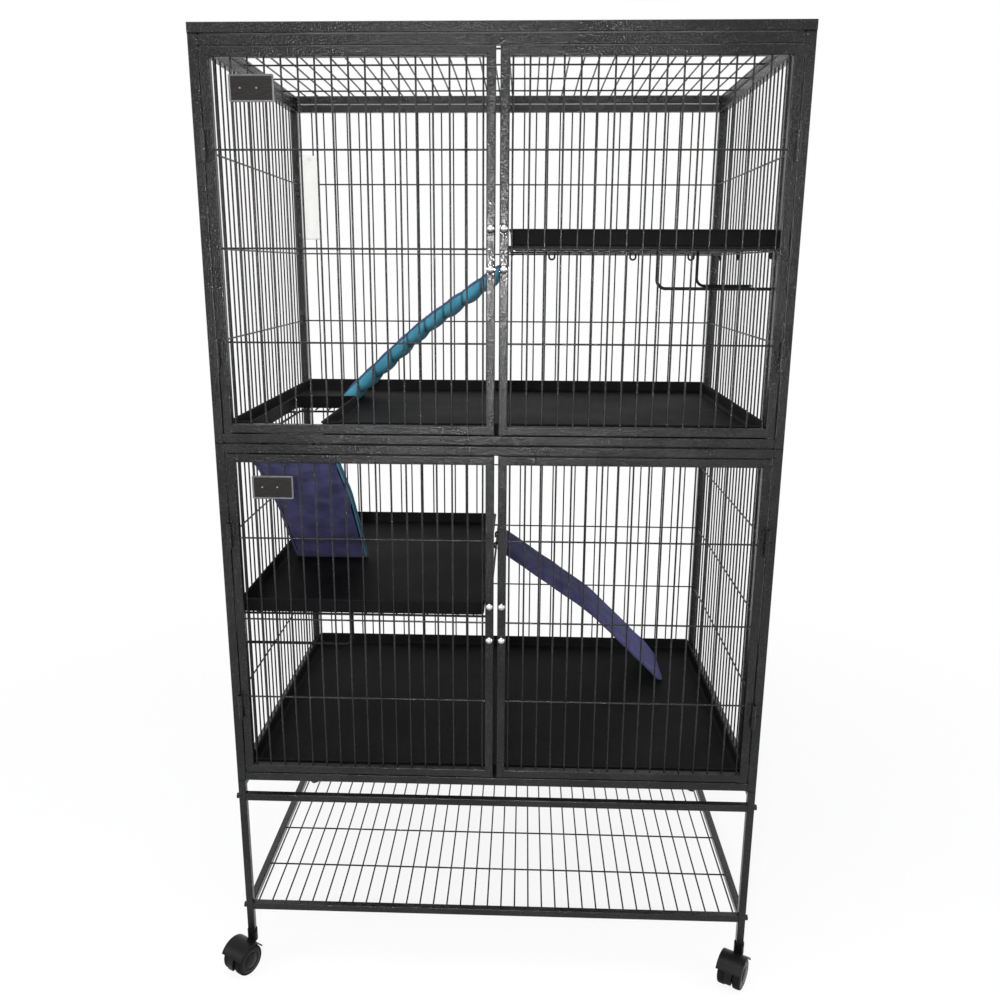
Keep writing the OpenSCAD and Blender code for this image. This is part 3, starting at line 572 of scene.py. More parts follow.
@dataclass(frozen=True)
class MouldedPlastic(Finish):
    """Black moulded plastic with a grained skin, faint scratches and settled dust."""

    dark: Colour = (0.0032, 0.0032, 0.0034)
    light: Colour = (0.0068, 0.0068, 0.0072)
    scratch: Colour = (0.12, 0.12, 0.125)
    dust: Colour = (0.16, 0.155, 0.145)
    roughness: float = 0.6
    gloss: float = 0.055
    grain_scale: float = 420.0
    relief: float = 0.00016
    dust_share: float = 0.04

    def build(self, effects: Effects) -> bpy.types.Material:
        """Makes the plastic from its grain, its scratches and its dust."""
        material, g, shader, place = self.start()
        grain = g.use(effects.grain, {"Vector": place, "Scale": self.grain_scale})
        dust = g.use(effects.dust, {"Vector": place})["Amount"]
        slow = g.ramp(g.noise(place, 7.0, 4.0), 0.3, 0.72)
        base = g.mix(g.times(grain["Scratch"], 0.08), g.mix(slow, self.dark, self.light), self.scratch)
        rough = g.plus(g.times(slow, 0.12), self.roughness - 0.06)
        g.feed(shader, {
            "Base Color": g.mix(g.times(dust, self.dust_share), base, self.dust),
            "Roughness": g.plus(rough, g.times(grain["Height"], 0.06)),
            "Normal": g.bump(grain["Height"], self.relief, 0.8),
            "Specular IOR Level": self.gloss,
        })
        return material


@dataclass(frozen=True)
class BrightMetal(Finish):
    """Plated or plain steel with fine wear, and painted shade where it faces down or turns away, in place of a
    reflection of the dark cage.
    """

    colour: Colour = (0.62, 0.62, 0.64)
    roughness: float = 0.2
    # Share of the colour left in the painted shade at the rim and underside.
    painted_shade_share: float = 0.12
    stain_shade: float = 0.62

    def build(self, effects: Effects) -> bpy.types.Material:
        """Makes the metal, and paints shade at its rim and underside."""
        material, g, shader, place = self.start()
        wear = g.ramp(g.noise(place, 260.0, 4.0), 0.35, 0.75)
        stain = g.ramp(g.noise(place, 90.0, 3.0), 0.45, 0.7)
        dull, painted_shade_colour = (tuple(share * c for c in self.colour) for share in (self.stain_shade, self.painted_shade_share))
        # Painted shade: darker where the surface faces down and at its grazing rim, in place of a reflection of the
        # dark cage.
        facing = g.parts(g.add("NewGeometry").outputs["Normal"])[2]
        below = g.ramp(facing, 0.15, -0.55, 0.0, 0.85)
        rim = g.ramp(g.add("LayerWeight", {"Blend": 0.35}).outputs["Facing"], 0.05, 0.6)
        plated = g.mix(g.times(stain, 0.5), self.colour, dull)
        g.feed(shader, {
            "Base Color": g.mix(g.math("MAXIMUM", below, rim), plated, painted_shade_colour),
            "Roughness": g.plus(g.times(wear, 0.16), self.roughness - 0.04),
            "Normal": g.bump(wear, 0.00004, 0.4),
            "Metallic": 1.0,
        })
        return material


@dataclass(frozen=True)
class Cloth(Finish):
    """Brushed woven cloth in two colours that meet at a stitched edge, with painted shade in its folds.

    The piece's attribute edge is its distance from that edge in metres, positive on the violet side. Its
    attribute crease is 1 where the sleeve is drawn in and sets the painted shade there, and its attribute fade says
    how pale the cloth is: paler dye, and painted light where it rises towards the foot.
    """

    teal: Colour = (0.030, 0.165, 0.245)
    teal_pale: Colour = (0.070, 0.300, 0.410)
    violet: Colour = (0.029, 0.026, 0.070)
    violet_pale: Colour = (0.098, 0.090, 0.230)
    thread: Colour = (0.16, 0.14, 0.30)
    sheen: Colour = (0.35, 0.42, 0.6)
    threads: float = 900.0
    stitch: float = 0.0045
    inset: float = 0.0035
    # Strength of the painted shade where the sleeve is drawn in.
    crease: float = 0.62

    def build(self, effects: Effects) -> bpy.types.Material:
        """Makes the cloth: two dyed sides, stitches by their edge, weave, fuzz and folds."""
        material, g, shader, place = self.start()
        uv = g.add("UVMap", uv_map="UVMap").outputs["UV"]
        cloth = g.use(effects.weave, {"Vector": uv, "Threads": self.threads})
        crease, edge, fade = (
            g.add("Attribute", attribute_name=name).outputs["Fac"] for name in ("crease", "edge", "fade")
        )
        # Random dye tone, plus paleness along the sleeve that is partly painted light.
        tone = g.math("ADD", g.times(g.ramp(cloth["Tone"], 0.3, 0.7), 0.5), fade, True)
        side = g.ramp(edge, -0.0004, 0.0004)
        dyed = g.mix(side, g.mix(tone, self.teal, self.teal_pale), g.mix(tone, self.violet, self.violet_pale))
        beside = g.math("ABSOLUTE", g.math("SUBTRACT", g.math("ABSOLUTE", edge), self.inset))
        run = g.times(g.parts(uv)[0], 2 * math.pi / self.stitch)
        stitch = g.times(g.ramp(beside, 0.0007, 0.0003), g.ramp(g.math("SINE", run), -0.3, 0.1))
        weave = g.plus(g.times(cloth["Height"], 0.35), 0.65)
        # Painted shade where the sleeve is drawn in.
        dark = g.math("SUBTRACT", 1.0, g.times(crease, self.crease))
        shade = g.times(weave, dark, g.ramp(cloth["Fuzz"], 0.2, 0.8, 0.82, 1.1))
        grey = g.add("CombineColor", {0: shade, 1: shade, 2: shade}).outputs[0]
        folds = g.bump(g.noise(place, 55.0, 3.0), 0.0022, 0.5)
        g.feed(shader, {
            "Base Color": g.mix(1.0, g.mix(g.times(stitch, 0.5), dyed, self.thread), grey, "MULTIPLY"),
            "Normal": g.bump(cloth["Height"], 0.00035, 0.7, g.bump(stitch, 0.0005, 0.6, folds)),
            "Roughness": 0.85,
            "Specular IOR Level": 0.14,
            "Sheen Weight": 0.06,
            "Sheen Roughness": 0.5,
            "Sheen Tint": (*self.sheen, 1.0),
        })
        return material


@dataclass(frozen=True)
class Twine(Finish):
    """Twisted dark cord, with its lay drawn along its own UV map in metres."""

    dark: Colour = (0.010, 0.018, 0.040)
    light: Colour = (0.035, 0.055, 0.110)

    def build(self, effects: Effects) -> bpy.types.Material:
        """Makes the cord from a slanting wave."""
        material, g, shader, _ = self.start()
        uv = g.parts(g.add("UVMap", uv_map="UVMap").outputs["UV"])
        strand = g.math("ABSOLUTE", g.math("SINE", g.plus(g.times(uv[0], 2200.0), g.times(uv[1], 1400.0))))
        g.feed(shader, {
            "Base Color": g.mix(strand, self.dark, self.light),
            "Normal": g.bump(strand, 0.0002, 0.8),
            "Roughness": 0.8,
        })
        return material


@dataclass(frozen=True)
class Card(Finish):
    """White card with faint fibres and a little handling dirt."""

    white: Colour = (0.80, 0.80, 0.77)
    dirty: Colour = (0.62, 0.61, 0.57)

    def build(self, effects: Effects) -> bpy.types.Material:
        """Makes the card from its fibres and its dirt."""
        material, g, shader, place = self.start()
        fibre = g.ramp(g.noise(place, 1400.0, 3.0), 0.35, 0.7)
        dirt = g.ramp(g.noise(place, 40.0, 5.0), 0.5, 0.8)
        g.feed(shader, {
            "Base Color": g.mix(g.plus(g.times(fibre, 0.25), g.times(dirt, 0.5)), self.white, self.dirty),
            "Normal": g.bump(fibre, 0.00004, 0.6),
            "Roughness": 0.7,
        })
        return material


@dataclass(frozen=True)
class PlateFace(Finish):
    """Dark lacquered sheet with a fine brushed grain, left bare."""

    dark: Colour = (0.008, 0.007, 0.007)
    light: Colour = (0.022, 0.020, 0.019)

    def build(self, effects: Effects) -> bpy.types.Material:
        """Makes the lacquer from noise stretched along the plate."""
        material, g, shader, place = self.start()
        stretched = g.add("Mapping", {"Vector": place, "Scale": (60.0, 60.0, 2600.0)}).outputs[0]
        brushed = g.ramp(g.noise(stretched, 1.0, 3.0), 0.3, 0.75)
        g.feed(shader, {
            "Base Color": g.mix(brushed, self.dark, self.light),
            "Roughness": g.plus(g.times(brushed, 0.14), 0.26),
            "Normal": g.bump(brushed, 0.00003, 0.5),
            "Metallic": 0.2,
            "Specular IOR Level": 0.2,
        })
        return material


class Palette:
    """All finishes, each built once."""

    def __init__(self) -> None:
        effects = Effects()
        self.frame = HammerCoat("hammered_frame").build(effects)
        self.bolt = HammerCoat("hammered_bolt", relief=0.0002, fleck_share=0.2).build(effects)
        self.wire = WireCoat("coated_wire").build(effects)
        self.tray = MouldedPlastic("tray_black").build(effects)
        self.cap = MouldedPlastic("cap_black", grain_scale=900.0, relief=0.00006, dust_share=0.05).build(effects)
        self.caster = MouldedPlastic(
            "caster_black", grain_scale=1100.0, relief=0.00003, roughness=0.3, gloss=0.14, dust_share=0.03
        ).build(effects)
        self.tyre = MouldedPlastic(
            "tyre_black", light=(0.010, 0.010, 0.010), grain_scale=800.0, relief=0.0001, dust_share=0.06
        ).build(effects)
        self.bright = BrightMetal("plated_knob").build(effects)
        self.axle = BrightMetal("plain_steel", (0.40, 0.40, 0.42), 0.34, 0.3).build(effects)
        self.cloth = Cloth("two_tone_cloth").build(effects)
        self.twine = Twine("tie_twine").build(effects)
        self.rim = BrightMetal("plate_rim", (0.16, 0.16, 0.165), 0.45).build(effects)
        self.card = Card("white_card").build(effects)
        self.plate = PlateFace("bare_plate").build(effects)

    def by_slot(self) -> Dict[Slot, bpy.types.Material]:
        """Material of each slot of the record, for the CAD nodes that keep their shape."""
        return {
            Slot.FRAME: self.frame,
            Slot.WIRE: self.wire,
            Slot.TRAY: self.tray,
            Slot.COVER: self.cloth,
            Slot.BRIGHT: self.bright,
            Slot.AXLE: self.axle,
            Slot.CASTER: self.caster,
            Slot.CAP: self.cap,
            Slot.PLATE: self.plate,
            Slot.TAG: self.card,
            Slot.BOLT: self.bolt,
        }


# ---------------------------------------------------------------- sub-assemblies


@dataclass
class Piece:
    """A visual piece that rides on a CAD body.

    Attributes:
        palette: The finishes.
    """

    palette: Palette

    @staticmethod
    def settle(obj: bpy.types.Object, body: str, slot: Slot, *nodes: str) -> bpy.types.Object:
        """Fixes an object to its body, and hides the nodes that it stands for."""
        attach(obj, body)
        if nodes:
            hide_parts(*nodes)
        return obj


@dataclass
class Steelwork(Piece):
    """The CAD nodes that keep their shape: tubes, wires, hinges, latches, caps and bolts."""

    def dress(self, frame: dict) -> None:
        """Gives every CAD node the finish of its slot.
        """
        finishes = self.palette.by_slot()
        slots = {s["node"]: Slot(s["material_slot"]) for s in frame["record"]["subparts"]}
        for name, node in frame["nodes"].items():
            node.data.materials.clear()
            node.data.materials.append(finishes[slots[name]])
        LOG.info("steelwork: %d nodes dressed", len(slots))


def rounded_outline(corners: Sequence[Tuple[float, float]], radii: Sequence[float], steps: int) -> Array:
    """Closed outline with rounded corners, turning anticlockwise.

    At each corner the arc's centre lies on the bisector, r / sin(half angle) from the corner, and the arc
    runs between the two tangent points. A corner that turns clockwise is rounded the other way.

    Args:
        corners: Sharp corners in order.
        radii: Radius at each corner.
        steps: Segments in each arc.

    Returns:
        The points, steps + 1 for each corner.
    """
    points: List[Array] = []
    pts = np.asarray(corners, float)
    for i, radius in enumerate(radii):
        here = pts[i]
        before = pts[i - 1] - here
        after = pts[(i + 1) % len(pts)] - here
        before /= np.linalg.norm(before)
        after /= np.linalg.norm(after)
        half = 0.5 * math.acos(float(np.clip(before @ after, -1, 1)))
        bisector = before + after
        centre = here + bisector / np.linalg.norm(bisector) * radius / math.sin(half)
        tangent = radius / math.tan(half)
        a = here + before * tangent - centre
        b = here + after * tangent - centre
        start = math.atan2(a[1], a[0])
        sweep = (math.atan2(b[1], b[0]) - start + math.pi) % (2 * math.pi) - math.pi
        angle = start + sweep * np.linspace(0, 1, steps + 1)
        points.append(centre + radius * np.stack([np.cos(angle), np.sin(angle)], -1))
    return np.concatenate(points)


@dataclass
class MouldedTray(Piece):
    """A vacuum-formed tray: drafted walls, a rolled lip, a coved inside corner and a flat floor.

    Attributes:
        node: CAD node that it stands for.
        body: Body that it rides on.
        notch: Left, right and rear edges of the cut-out at the front, or nothing.
        wall: Thickness of the sheet.
        lip: Overhang of the rolled rim.
        corner: Radius of the outer corners.
        cove: Radius between wall and floor.
        draft: How far the wall leans in from rim to floor.
        steps: Segments in each rounded corner.
    """

    node: str = ""
    body: str = "cage"
    notch: Optional[Tuple[float, float, float]] = None
    wall: float = 2.5 * MM
    lip: float = 2.0 * MM
    corner: float = 10 * MM
    cove: float = 6 * MM
    draft: float = 1.2 * MM
    steps: int = 10

    def outline(self, low: Vector, high: Vector, inset: float) -> Array:
        """Outline of the tray, moved in by inset. Convex corners shrink and the concave one grows."""
        x0, y0, x1, y1 = low.x + inset, low.y + inset, high.x - inset, high.y - inset
        convex = max(self.corner - inset, 2 * MM)
        if self.notch is None:
            return rounded_outline([(x0, y0), (x1, y0), (x1, y1), (x0, y1)], [convex] * 4, self.steps)
        left, right, rear = self.notch[0] - inset, self.notch[1] + inset, self.notch[2] + inset
        corners = [(x0, y0), (left, y0), (left, rear), (right, rear), (right, y0), (x1, y0), (x1, y1), (x0, y1)]
        small, inside = max(6 * MM - inset, 1 * MM), 4 * MM + inset
        radii = [convex, small, inside, inside, small, convex, convex, convex]
        return rounded_outline(corners, radii, self.steps)

    def profile(self, height: float) -> Array:
        """Section of the sheet as (inset, height) pairs, from the outer foot over the rim to the inner floor."""
        lip, wall, draft = self.lip, self.wall, self.draft
        foot = [(lip + draft + 3 * MM, 0.0), (lip + draft + 1 * MM, 0.5 * MM), (lip + draft, 2.2 * MM)]
        under = [
            (lip + 0.2 * MM, height - 3.2 * MM),
            (lip - 0.3 * MM, height - 2.6 * MM),
            (0.3 * MM, height - 2.4 * MM),
        ]
        rim = [
            (0.0, height - 1.7 * MM),
            (0.1 * MM, height - 0.8 * MM),
            (0.9 * MM, height - 0.1 * MM),
            (2.0 * MM, height),
        ]
        inner = [
            (lip + wall - 1.4 * MM, height),
            (lip + wall - 0.3 * MM, height - 0.5 * MM),
            (lip + wall, height - 1.6 * MM),
        ]
        t = np.linspace(0, math.pi / 2, 6)
        start = lip + wall + draft * 0.6
        cove = [(start + self.cove * (1 - math.cos(a)), wall + self.cove * (1 - math.sin(a))) for a in t]
        floor = [(start + self.cove + k, wall) for k in (1 * MM, 3 * MM)]
        return np.array(foot + under + rim + inner + cove + floor)

    def build(self) -> bpy.types.Object:
        """Sweeps the section round the outline; each ring is the outline at that inset."""
        low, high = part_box(self.node)
        section = self.profile(high.z - low.z)
        rings = [self.outline(low, high, float(inset)) for inset, _ in section]
        count = len(rings[0])
        verts = np.concatenate(
            [np.column_stack([ring, np.full(count, low.z + h)]) for ring, (_, h) in zip(rings, section)]
        )
        obj = mesh_object("tray_" + self.node, verts, capped_faces(len(rings), count), [self.palette.tray])
        polygons = obj.data.polygons
        for index in (len(polygons) - 1, len(polygons) - 2):
            polygons[index].use_smooth = False
        return self.settle(obj, self.body, Slot.TRAY, self.node)


@dataclass
class PaddedRamp(Piece):
    """A padded cloth sleeve over a kinked ladder, drawn in at even steps.

    It is made in its own frame, with the hinge rod at the origin and the fall towards +X, swollen there as
    cloth, and then placed.

    Attributes:
        node: CAD node that it stands for.
        body: Body that it rides on.
        origin: Middle of the hinge rod.
        heading: Direction of fall, in degrees from +X.
        up: Slope of the upper part, in degrees.
        low: Slope of the lower part, in degrees.
        rise: Height of the hinge rod above the surface under the foot.
        riser: How far the ladder starts below the rod.
        ladder: Depth of the ladder under the sleeve's upper face.
        thick: Thickness of the sleeve.
        width: Width of the sleeve.
        low_length: Length of the lower part.
        squareness: Power of the superellipse that the section is.
        ties: Number of places where the sleeve is drawn in.
        dip: Share of the thickness that is lost there.
        bulge: How far the lower side hangs down between them.
        cords: True where a cord goes round the sleeve at each such place.
        edge_at: Height of the edge between the two cloths, as a share of the half thickness.
        flipped: True where the violet cloth lies below.
        swelling: Most that a point may move as the cloth swells.
        pressure: Pressure inside the cloth.
        wrap: How far the cloth of the -Y side turns in under the sleeve.
        kink: Half the length over which the slope changes.
        lean: How much a drawn-in place shifts along the sleeve for each metre of height.
        pinch: Reach of a drawn-in place to each side.
        toe: Length of the foot that thins.
        painted_fold_shade: Strength of the painted shade at the drawn-in places.
        fade: How pale the cloth is at the hinge and at the foot: the level they share is paler dye, and a rise
            towards the foot is painted light.
        seed: Seed of the small wrinkles.
        around: Points in each ring of the starting shape.
        along: Number of its rings.
    """

    node: str = ""
    body: str = ""
    origin: Tuple[float, float, float] = (0.0, 0.0, 0.0)
    heading: float = 0.0
    up: float = 35.0
    low: float = 45.0
    rise: float = 0.297
    riser: float = 1 * MM
    ladder: float = 14 * MM
    thick: float = 17.5 * MM
    width: float = 150 * MM
    low_length: float = 228 * MM
    squareness: float = 6.0
    ties: int = 9
    dip: float = 0.05
    bulge: float = 0.0
    cords: bool = False
    edge_at: float = 0.6
    flipped: bool = False
    swelling: float = 2.5 * MM
    pressure: float = 4.0
    wrap: float = 0.0
    kink: float = 55 * MM
    lean: float = 0.55
    pinch: float = 3.2 * MM
    toe: float = 60 * MM
    painted_fold_shade: float = 1.0
    fade: Tuple[float, float] = (0.3, 0.3)
    seed: int = 3
    around: int = 96
    along: int = 170
    line: Array = field(default_factory=lambda: np.zeros((0, 2)), repr=False)
    slope: Array = field(default_factory=lambda: np.zeros(0), repr=False)
    total: float = 0.0

    @property
    def spacing(self) -> float:
        """Distance between two drawn-in places."""
        return self.total / (self.ties + 0.6)

    def lay_line(self) -> None:
        """Lays the middle line of the sleeve in the XZ plane.

        The slope goes smoothly from the upper to the lower value about the kink, and the line is the running
        sum of (cos slope, -sin slope).
        """
        reach, hook, tip = 15 * MM, 4.35 * MM, 7 * MM
        up, low = math.radians(self.up), math.radians(self.low)
        top = self.ladder * math.cos(up) - self.riser - (reach - self.ladder * math.sin(up) - hook) * math.tan(up)
        drop = self.rise + top - 0.3 * MM - tip
        up_length = (drop - self.low_length * math.sin(low)) / math.sin(up)
        self.total = up_length + self.low_length - 0.5 * self.thick * (low - up)
        s = np.linspace(0, self.total, self.along)
        blend = np.clip((s - up_length + self.kink) / (2 * self.kink), 0, 1)
        self.slope = up + (low - up) * blend * blend * (3 - 2 * blend)
        step = self.total / (self.along - 1)
        mid = 0.5 * (self.slope[1:] + self.slope[:-1])
        run = np.stack([np.cos(mid), -np.sin(mid)], -1) * step
        first = np.array([reach - 0.5 * self.thick * math.sin(up), top - 0.5 * self.thick * math.cos(up)])
        self.line = first + np.concatenate([[[0.0, 0.0]], np.cumsum(run, 0)])

    def phase(self, s: Array, height: Array) -> Array:
        """Count of drawn-in places passed at a point. They lean towards the upright on the sleeve's sides."""
        leaning = s + self.lean * height
        return np.clip((leaning - 0.3 * self.spacing) / self.spacing, 0, self.ties)

    def half_depths(self, s: Array, height_share: float) -> Tuple[Array, Array, Array]:
        """Upper and lower half thickness and half width along the sleeve, on the side at this height share.

        Between drawn-in places the cloth stands as |sin|^0.55 of the phase. Both ends close as a quarter
        ellipse, and the foot thins towards its tip.
        """
        wave = np.abs(np.sin(np.pi * self.phase(s, np.full_like(s, height_share * self.thick / 2)))) ** 0.55
        end = np.clip(np.minimum(s, self.total - s) / (8 * MM), 0, 1)
        close = 0.15 + 0.85 * np.sqrt(1 - (1 - end) ** 2)
        foot = 1 - 0.55 * np.clip((s - self.total + self.toe) / self.toe, 0, 1) ** 1.6
        full = self.thick / 2 - 0.5 * MM
        upper = full * (1 - self.dip + self.dip * wave) * close * foot
        lower = (full * (1 - self.dip + self.dip * wave) + self.bulge * wave) * close
        half = self.width / 2 - 1.2 * MM - (1 - wave) * self.dip * 9 * MM - (1 - close) * 8 * MM
        return upper, lower, half

    def starting_shape(self) -> Tuple[Array, List[Tuple[int, ...]]]:
        """Superellipse sections carried along the middle line."""
        s = np.linspace(0, self.total, self.along)
        angle = np.linspace(0, 2 * np.pi, self.around, endpoint=False)
        power = 2.0 / self.squareness
        across = np.sign(np.cos(angle)) * np.abs(np.cos(angle)) ** power
        lift = np.sign(np.sin(angle)) * np.abs(np.sin(angle)) ** power
        grid = [self.half_depths(s, float(share)) for share in lift]
        upper, lower, half = (np.stack([column[k] for column in grid], 1) for k in range(3))
        depth = np.where(lift[None, :] > 0, upper, lower) * lift[None, :]
        side = half * across[None, :]
        x = self.line[:, 0, None] + np.sin(self.slope)[:, None] * depth
        z = self.line[:, 1, None] + np.cos(self.slope)[:, None] * depth
        faces: List[Tuple[int, ...]] = [tuple(reversed(q)) for q in ring_faces(self.along, self.around)]
        last = (self.along - 1) * self.around
        faces.append(tuple(reversed(range(last, last + self.around))))
        faces.append(tuple(range(self.around)))
        return np.stack([x, side, z], -1).reshape(-1, 3), faces

    def along_and_up(self, points: Array) -> Tuple[Array, Array]:
        """Place along the middle line and height over it, from the nearest point of the line."""
        steps = np.linspace(0, self.total, self.along)
        near = np.empty(len(points), int)
        for start in range(0, len(points), 4000):
            part = points[start : start + 4000, None, [0, 2]] - self.line[None]
            near[start : start + 4000] = np.argmin((part**2).sum(-1), 1)
        offset = points[:, [0, 2]] - self.line[near]
        fall = np.stack([np.cos(self.slope[near]), -np.sin(self.slope[near])], -1)
        rise = np.stack([np.sin(self.slope[near]), np.cos(self.slope[near])], -1)
        return steps[near] + (offset * fall).sum(-1), (offset * rise).sum(-1)

    def closeness(self, points: Array) -> Array:
        """1 where the sleeve is drawn in, falling off to the sides as exp(-(distance / pinch)^2)."""
        s, height = self.along_and_up(points)
        phase = self.phase(s, height)
        distance = np.abs(phase - np.round(phase)) * self.spacing
        return np.exp(-((distance / self.pinch) ** 2))

    def swell(self, obj: bpy.types.Object) -> None:
        """Swells the sleeve as cloth under pressure, held where it is drawn in, and smooths it once."""
        even = obj.modifiers.new("even", "REMESH")
        even.mode, even.voxel_size = "VOXEL", 4.5 * MM
        bake_modifiers(obj)
        start = points_of(obj.data)
        held = obj.vertex_groups.new(name="held")
        held.add(np.flatnonzero(self.closeness(start) > 0.45).tolist(), 1.0, "REPLACE")
        cloth = obj.modifiers.new("swell", "CLOTH")
        cloth.settings.quality = 5
        cloth.settings.mass = 0.3
        cloth.settings.tension_stiffness = 12.0
        cloth.settings.compression_stiffness = 12.0
        cloth.settings.bending_stiffness = 0.4
        cloth.settings.use_pressure = True
        cloth.settings.uniform_pressure_force = self.pressure
        cloth.settings.vertex_group_mass = held.name
        cloth.settings.effector_weights.gravity = 0.0
        cloth.collision_settings.use_collision = False
        scene = bpy.context.scene
        for frame in range(1, 21):
            scene.frame_set(frame)
        graph = bpy.context.evaluated_depsgraph_get()
        moved = points_of(obj.evaluated_get(graph).data) - start
        scene.frame_set(1)
        length = np.linalg.norm(moved, axis=1, keepdims=True)
        moved *= np.minimum(1, self.swelling / np.maximum(length, 1e-9))
        LOG.info("%s: cloth moved %.1f mm at most, %.1f mm kept", obj.name, 1000 * length.max(), 1000 * self.swelling)
        obj.modifiers.clear()
        obj.vertex_groups.clear()
        obj.data.vertices.foreach_set("co", (start + moved).astype(np.float32).ravel())
        smooth = obj.modifiers.new("smooth", "SUBSURF")
        smooth.levels = smooth.render_levels = 1
        bake_modifiers(obj)

    def wrinkled(self, points: Array) -> Array:
        """Moves points in or out by a sum of seeded sines of the place along and round the sleeve."""
        s, height = self.along_and_up(points)
        rng = np.random.default_rng(self.seed)
        amount = np.zeros(len(points))
        for _ in range(22):
            fs, fy = rng.uniform(25, 130), rng.uniform(-50, 50)
            turn, size = rng.uniform(0, 6.28), rng.uniform(0.1, 0.5)
            amount += size * np.sin(fs * (s + 0.6 * height) + fy * points[:, 1] + turn)
        sideways = np.sign(points[:, 1]) * (np.abs(points[:, 1]) > 0.45 * self.width)
        out = np.stack([np.zeros_like(s), sideways, np.zeros_like(s)], -1)
        near = np.interp(s, np.linspace(0, self.total, self.along), self.slope)
        up = np.stack([np.sin(near), np.zeros_like(near), np.cos(near)], -1)
        upward = up * np.clip(height / (0.35 * self.thick), -1, 1)[:, None]
        return points + (out * 0.5 + upward) * amount[:, None] * 0.28 * MM

    def edge_distance(self, points: Array) -> Array:
        """Distance round the sleeve from the edge between the cloths, positive on the violet side."""
        s, height = self.along_and_up(points)
        inside = np.clip(self.width / 2 - np.abs(points[:, 1]) - 2 * MM, 0, None)
        level = self.edge_at * self.thick / 2 * (-1 if self.flipped else 1)
        distance = (height - level) * (-1 if self.flipped else 1)
        beyond = np.where(inside > 0, -np.abs(distance) - inside, distance)
        signed = np.where(distance > 0, distance + inside, beyond)
        return signed - self.wrap * (points[:, 1] < 0)

    def surface_ring(self, tree: BVHTree, s: Array, angles: Array, out: float) -> Array:
        """Points just over the sleeve, found by rays from the middle line at these angles in its section."""
        steps = np.linspace(0, self.total, self.along)
        slope = np.interp(s, steps, self.slope)
        x, z = (np.interp(s, steps, self.line[:, k]) for k in (0, 1))
        origin = np.stack([x, np.zeros_like(s), z], -1)
        height = np.sin(angles)
        ray = np.stack([np.sin(slope) * height, np.cos(angles), np.cos(slope) * height], -1)
        found = []
        for start, direction in zip(origin, ray):
            hit = tree.ray_cast(Vector(start), Vector(direction))[0]
            found.append(np.array(hit if hit is not None else start) + direction * out)
        return np.array(found)

    def trimming(self, tree: BVHTree) -> bpy.types.Object:
        """Piping along both sides of the upper face, and a cord round the sleeve at each drawn-in place."""
        level = self.edge_at * (-1 if self.flipped else 1)
        lift = math.atan2(level * self.thick / 2, self.width / 2)
        s = np.linspace(7 * MM, self.total - 7 * MM, 130)
        parts = []
        for angle in (lift, math.pi - lift):
            path = self.surface_ring(tree, s, np.full_like(s, angle), 0.2 * MM)
            parts.append(tube_along(path, 1.0 * MM, 8))
        if self.cords:
            turn = np.linspace(0, 2 * np.pi, 120, endpoint=False)
            slim = np.arctan2(np.sin(turn) * self.thick, np.cos(turn) * self.width)
            for index in range(1, self.ties):
                height = np.clip(np.sin(turn) * 1.4, -1, 1) * self.thick / 2
                place = (index + 0.3) * self.spacing - self.lean * height
                path = self.surface_ring(tree, place, slim, 0.0)
                parts.append(tube_along(path, 1.1 * MM, 7, closed=True))
        verts, faces, _ = joined(parts)
        verts[:, 2] = np.maximum(verts[:, 2], -self.rise + 0.6 * MM)
        trim = mesh_object("trim_" + self.node, self.place(verts), faces, [self.palette.twine])
        corner_uv(trim, np.stack([verts[:, 0] - verts[:, 2], verts[:, 1] + verts[:, 2]], -1))
        outward(trim)
        return self.settle(trim, self.body, Slot.COVER)

    def build(self) -> bpy.types.Object:
        """Makes the sleeve, swells it, marks its cloths, the painted shade of its folds and its paleness, and adds
        its trimming.
        """
        self.lay_line()
        verts, faces = self.starting_shape()
        obj = mesh_object("sleeve_" + self.node, verts, faces, [self.palette.cloth])
        outward(obj)
        self.swell(obj)
        local = self.wrinkled(points_of(obj.data))
        local[:, 2] = np.maximum(local[:, 2], -self.rise + 0.5 * MM)
        s, height = self.along_and_up(local)
        obj.data.vertices.foreach_set("co", local.astype(np.float32).ravel())
        obj.data.update()
        corner_uv(obj, np.stack([s, local[:, 1] + height], -1))
        # Painted shade: the cloth is darkened where the sleeve is drawn in.
        point_attribute(obj, "crease", self.painted_fold_shade * self.closeness(local))
        # Paleness along the sleeve: the level shared by hinge and foot is paler dye, and a rise towards the foot is
        # painted light.
        share = np.clip((s / self.total - 0.35) / 0.5, 0, 1)
        point_attribute(obj, "fade", self.fade[0] + (self.fade[1] - self.fade[0]) * share * share * (3 - 2 * share))
        point_attribute(obj, "edge", self.edge_distance(local))
        obj.data.polygons.foreach_set("use_smooth", np.full(len(obj.data.polygons), True))
        tree = BVHTree.FromObject(obj, bpy.context.evaluated_depsgraph_get())
        self.trimming(tree)
        obj.data.vertices.foreach_set("co", self.place(local).astype(np.float32).ravel())
        obj.data.update()
        outward(obj)
        LOG.info("%s: %d faces", obj.name, len(obj.data.polygons))
        self.settle(obj, self.body, Slot.COVER, self.node)
        return obj

    def place(self, local: Array) -> Array:
        """Turns and moves points from the ramp's own frame to the cage's."""
        a = math.radians(self.heading)
        x, y, z = local[:, 0], local[:, 1], local[:, 2]
        return np.stack(
            [
                self.origin[0] + x * math.cos(a) - y * math.sin(a),
                self.origin[1] + x * math.sin(a) + y * math.cos(a),
                self.origin[2] + z,
            ],
            -1,
        )


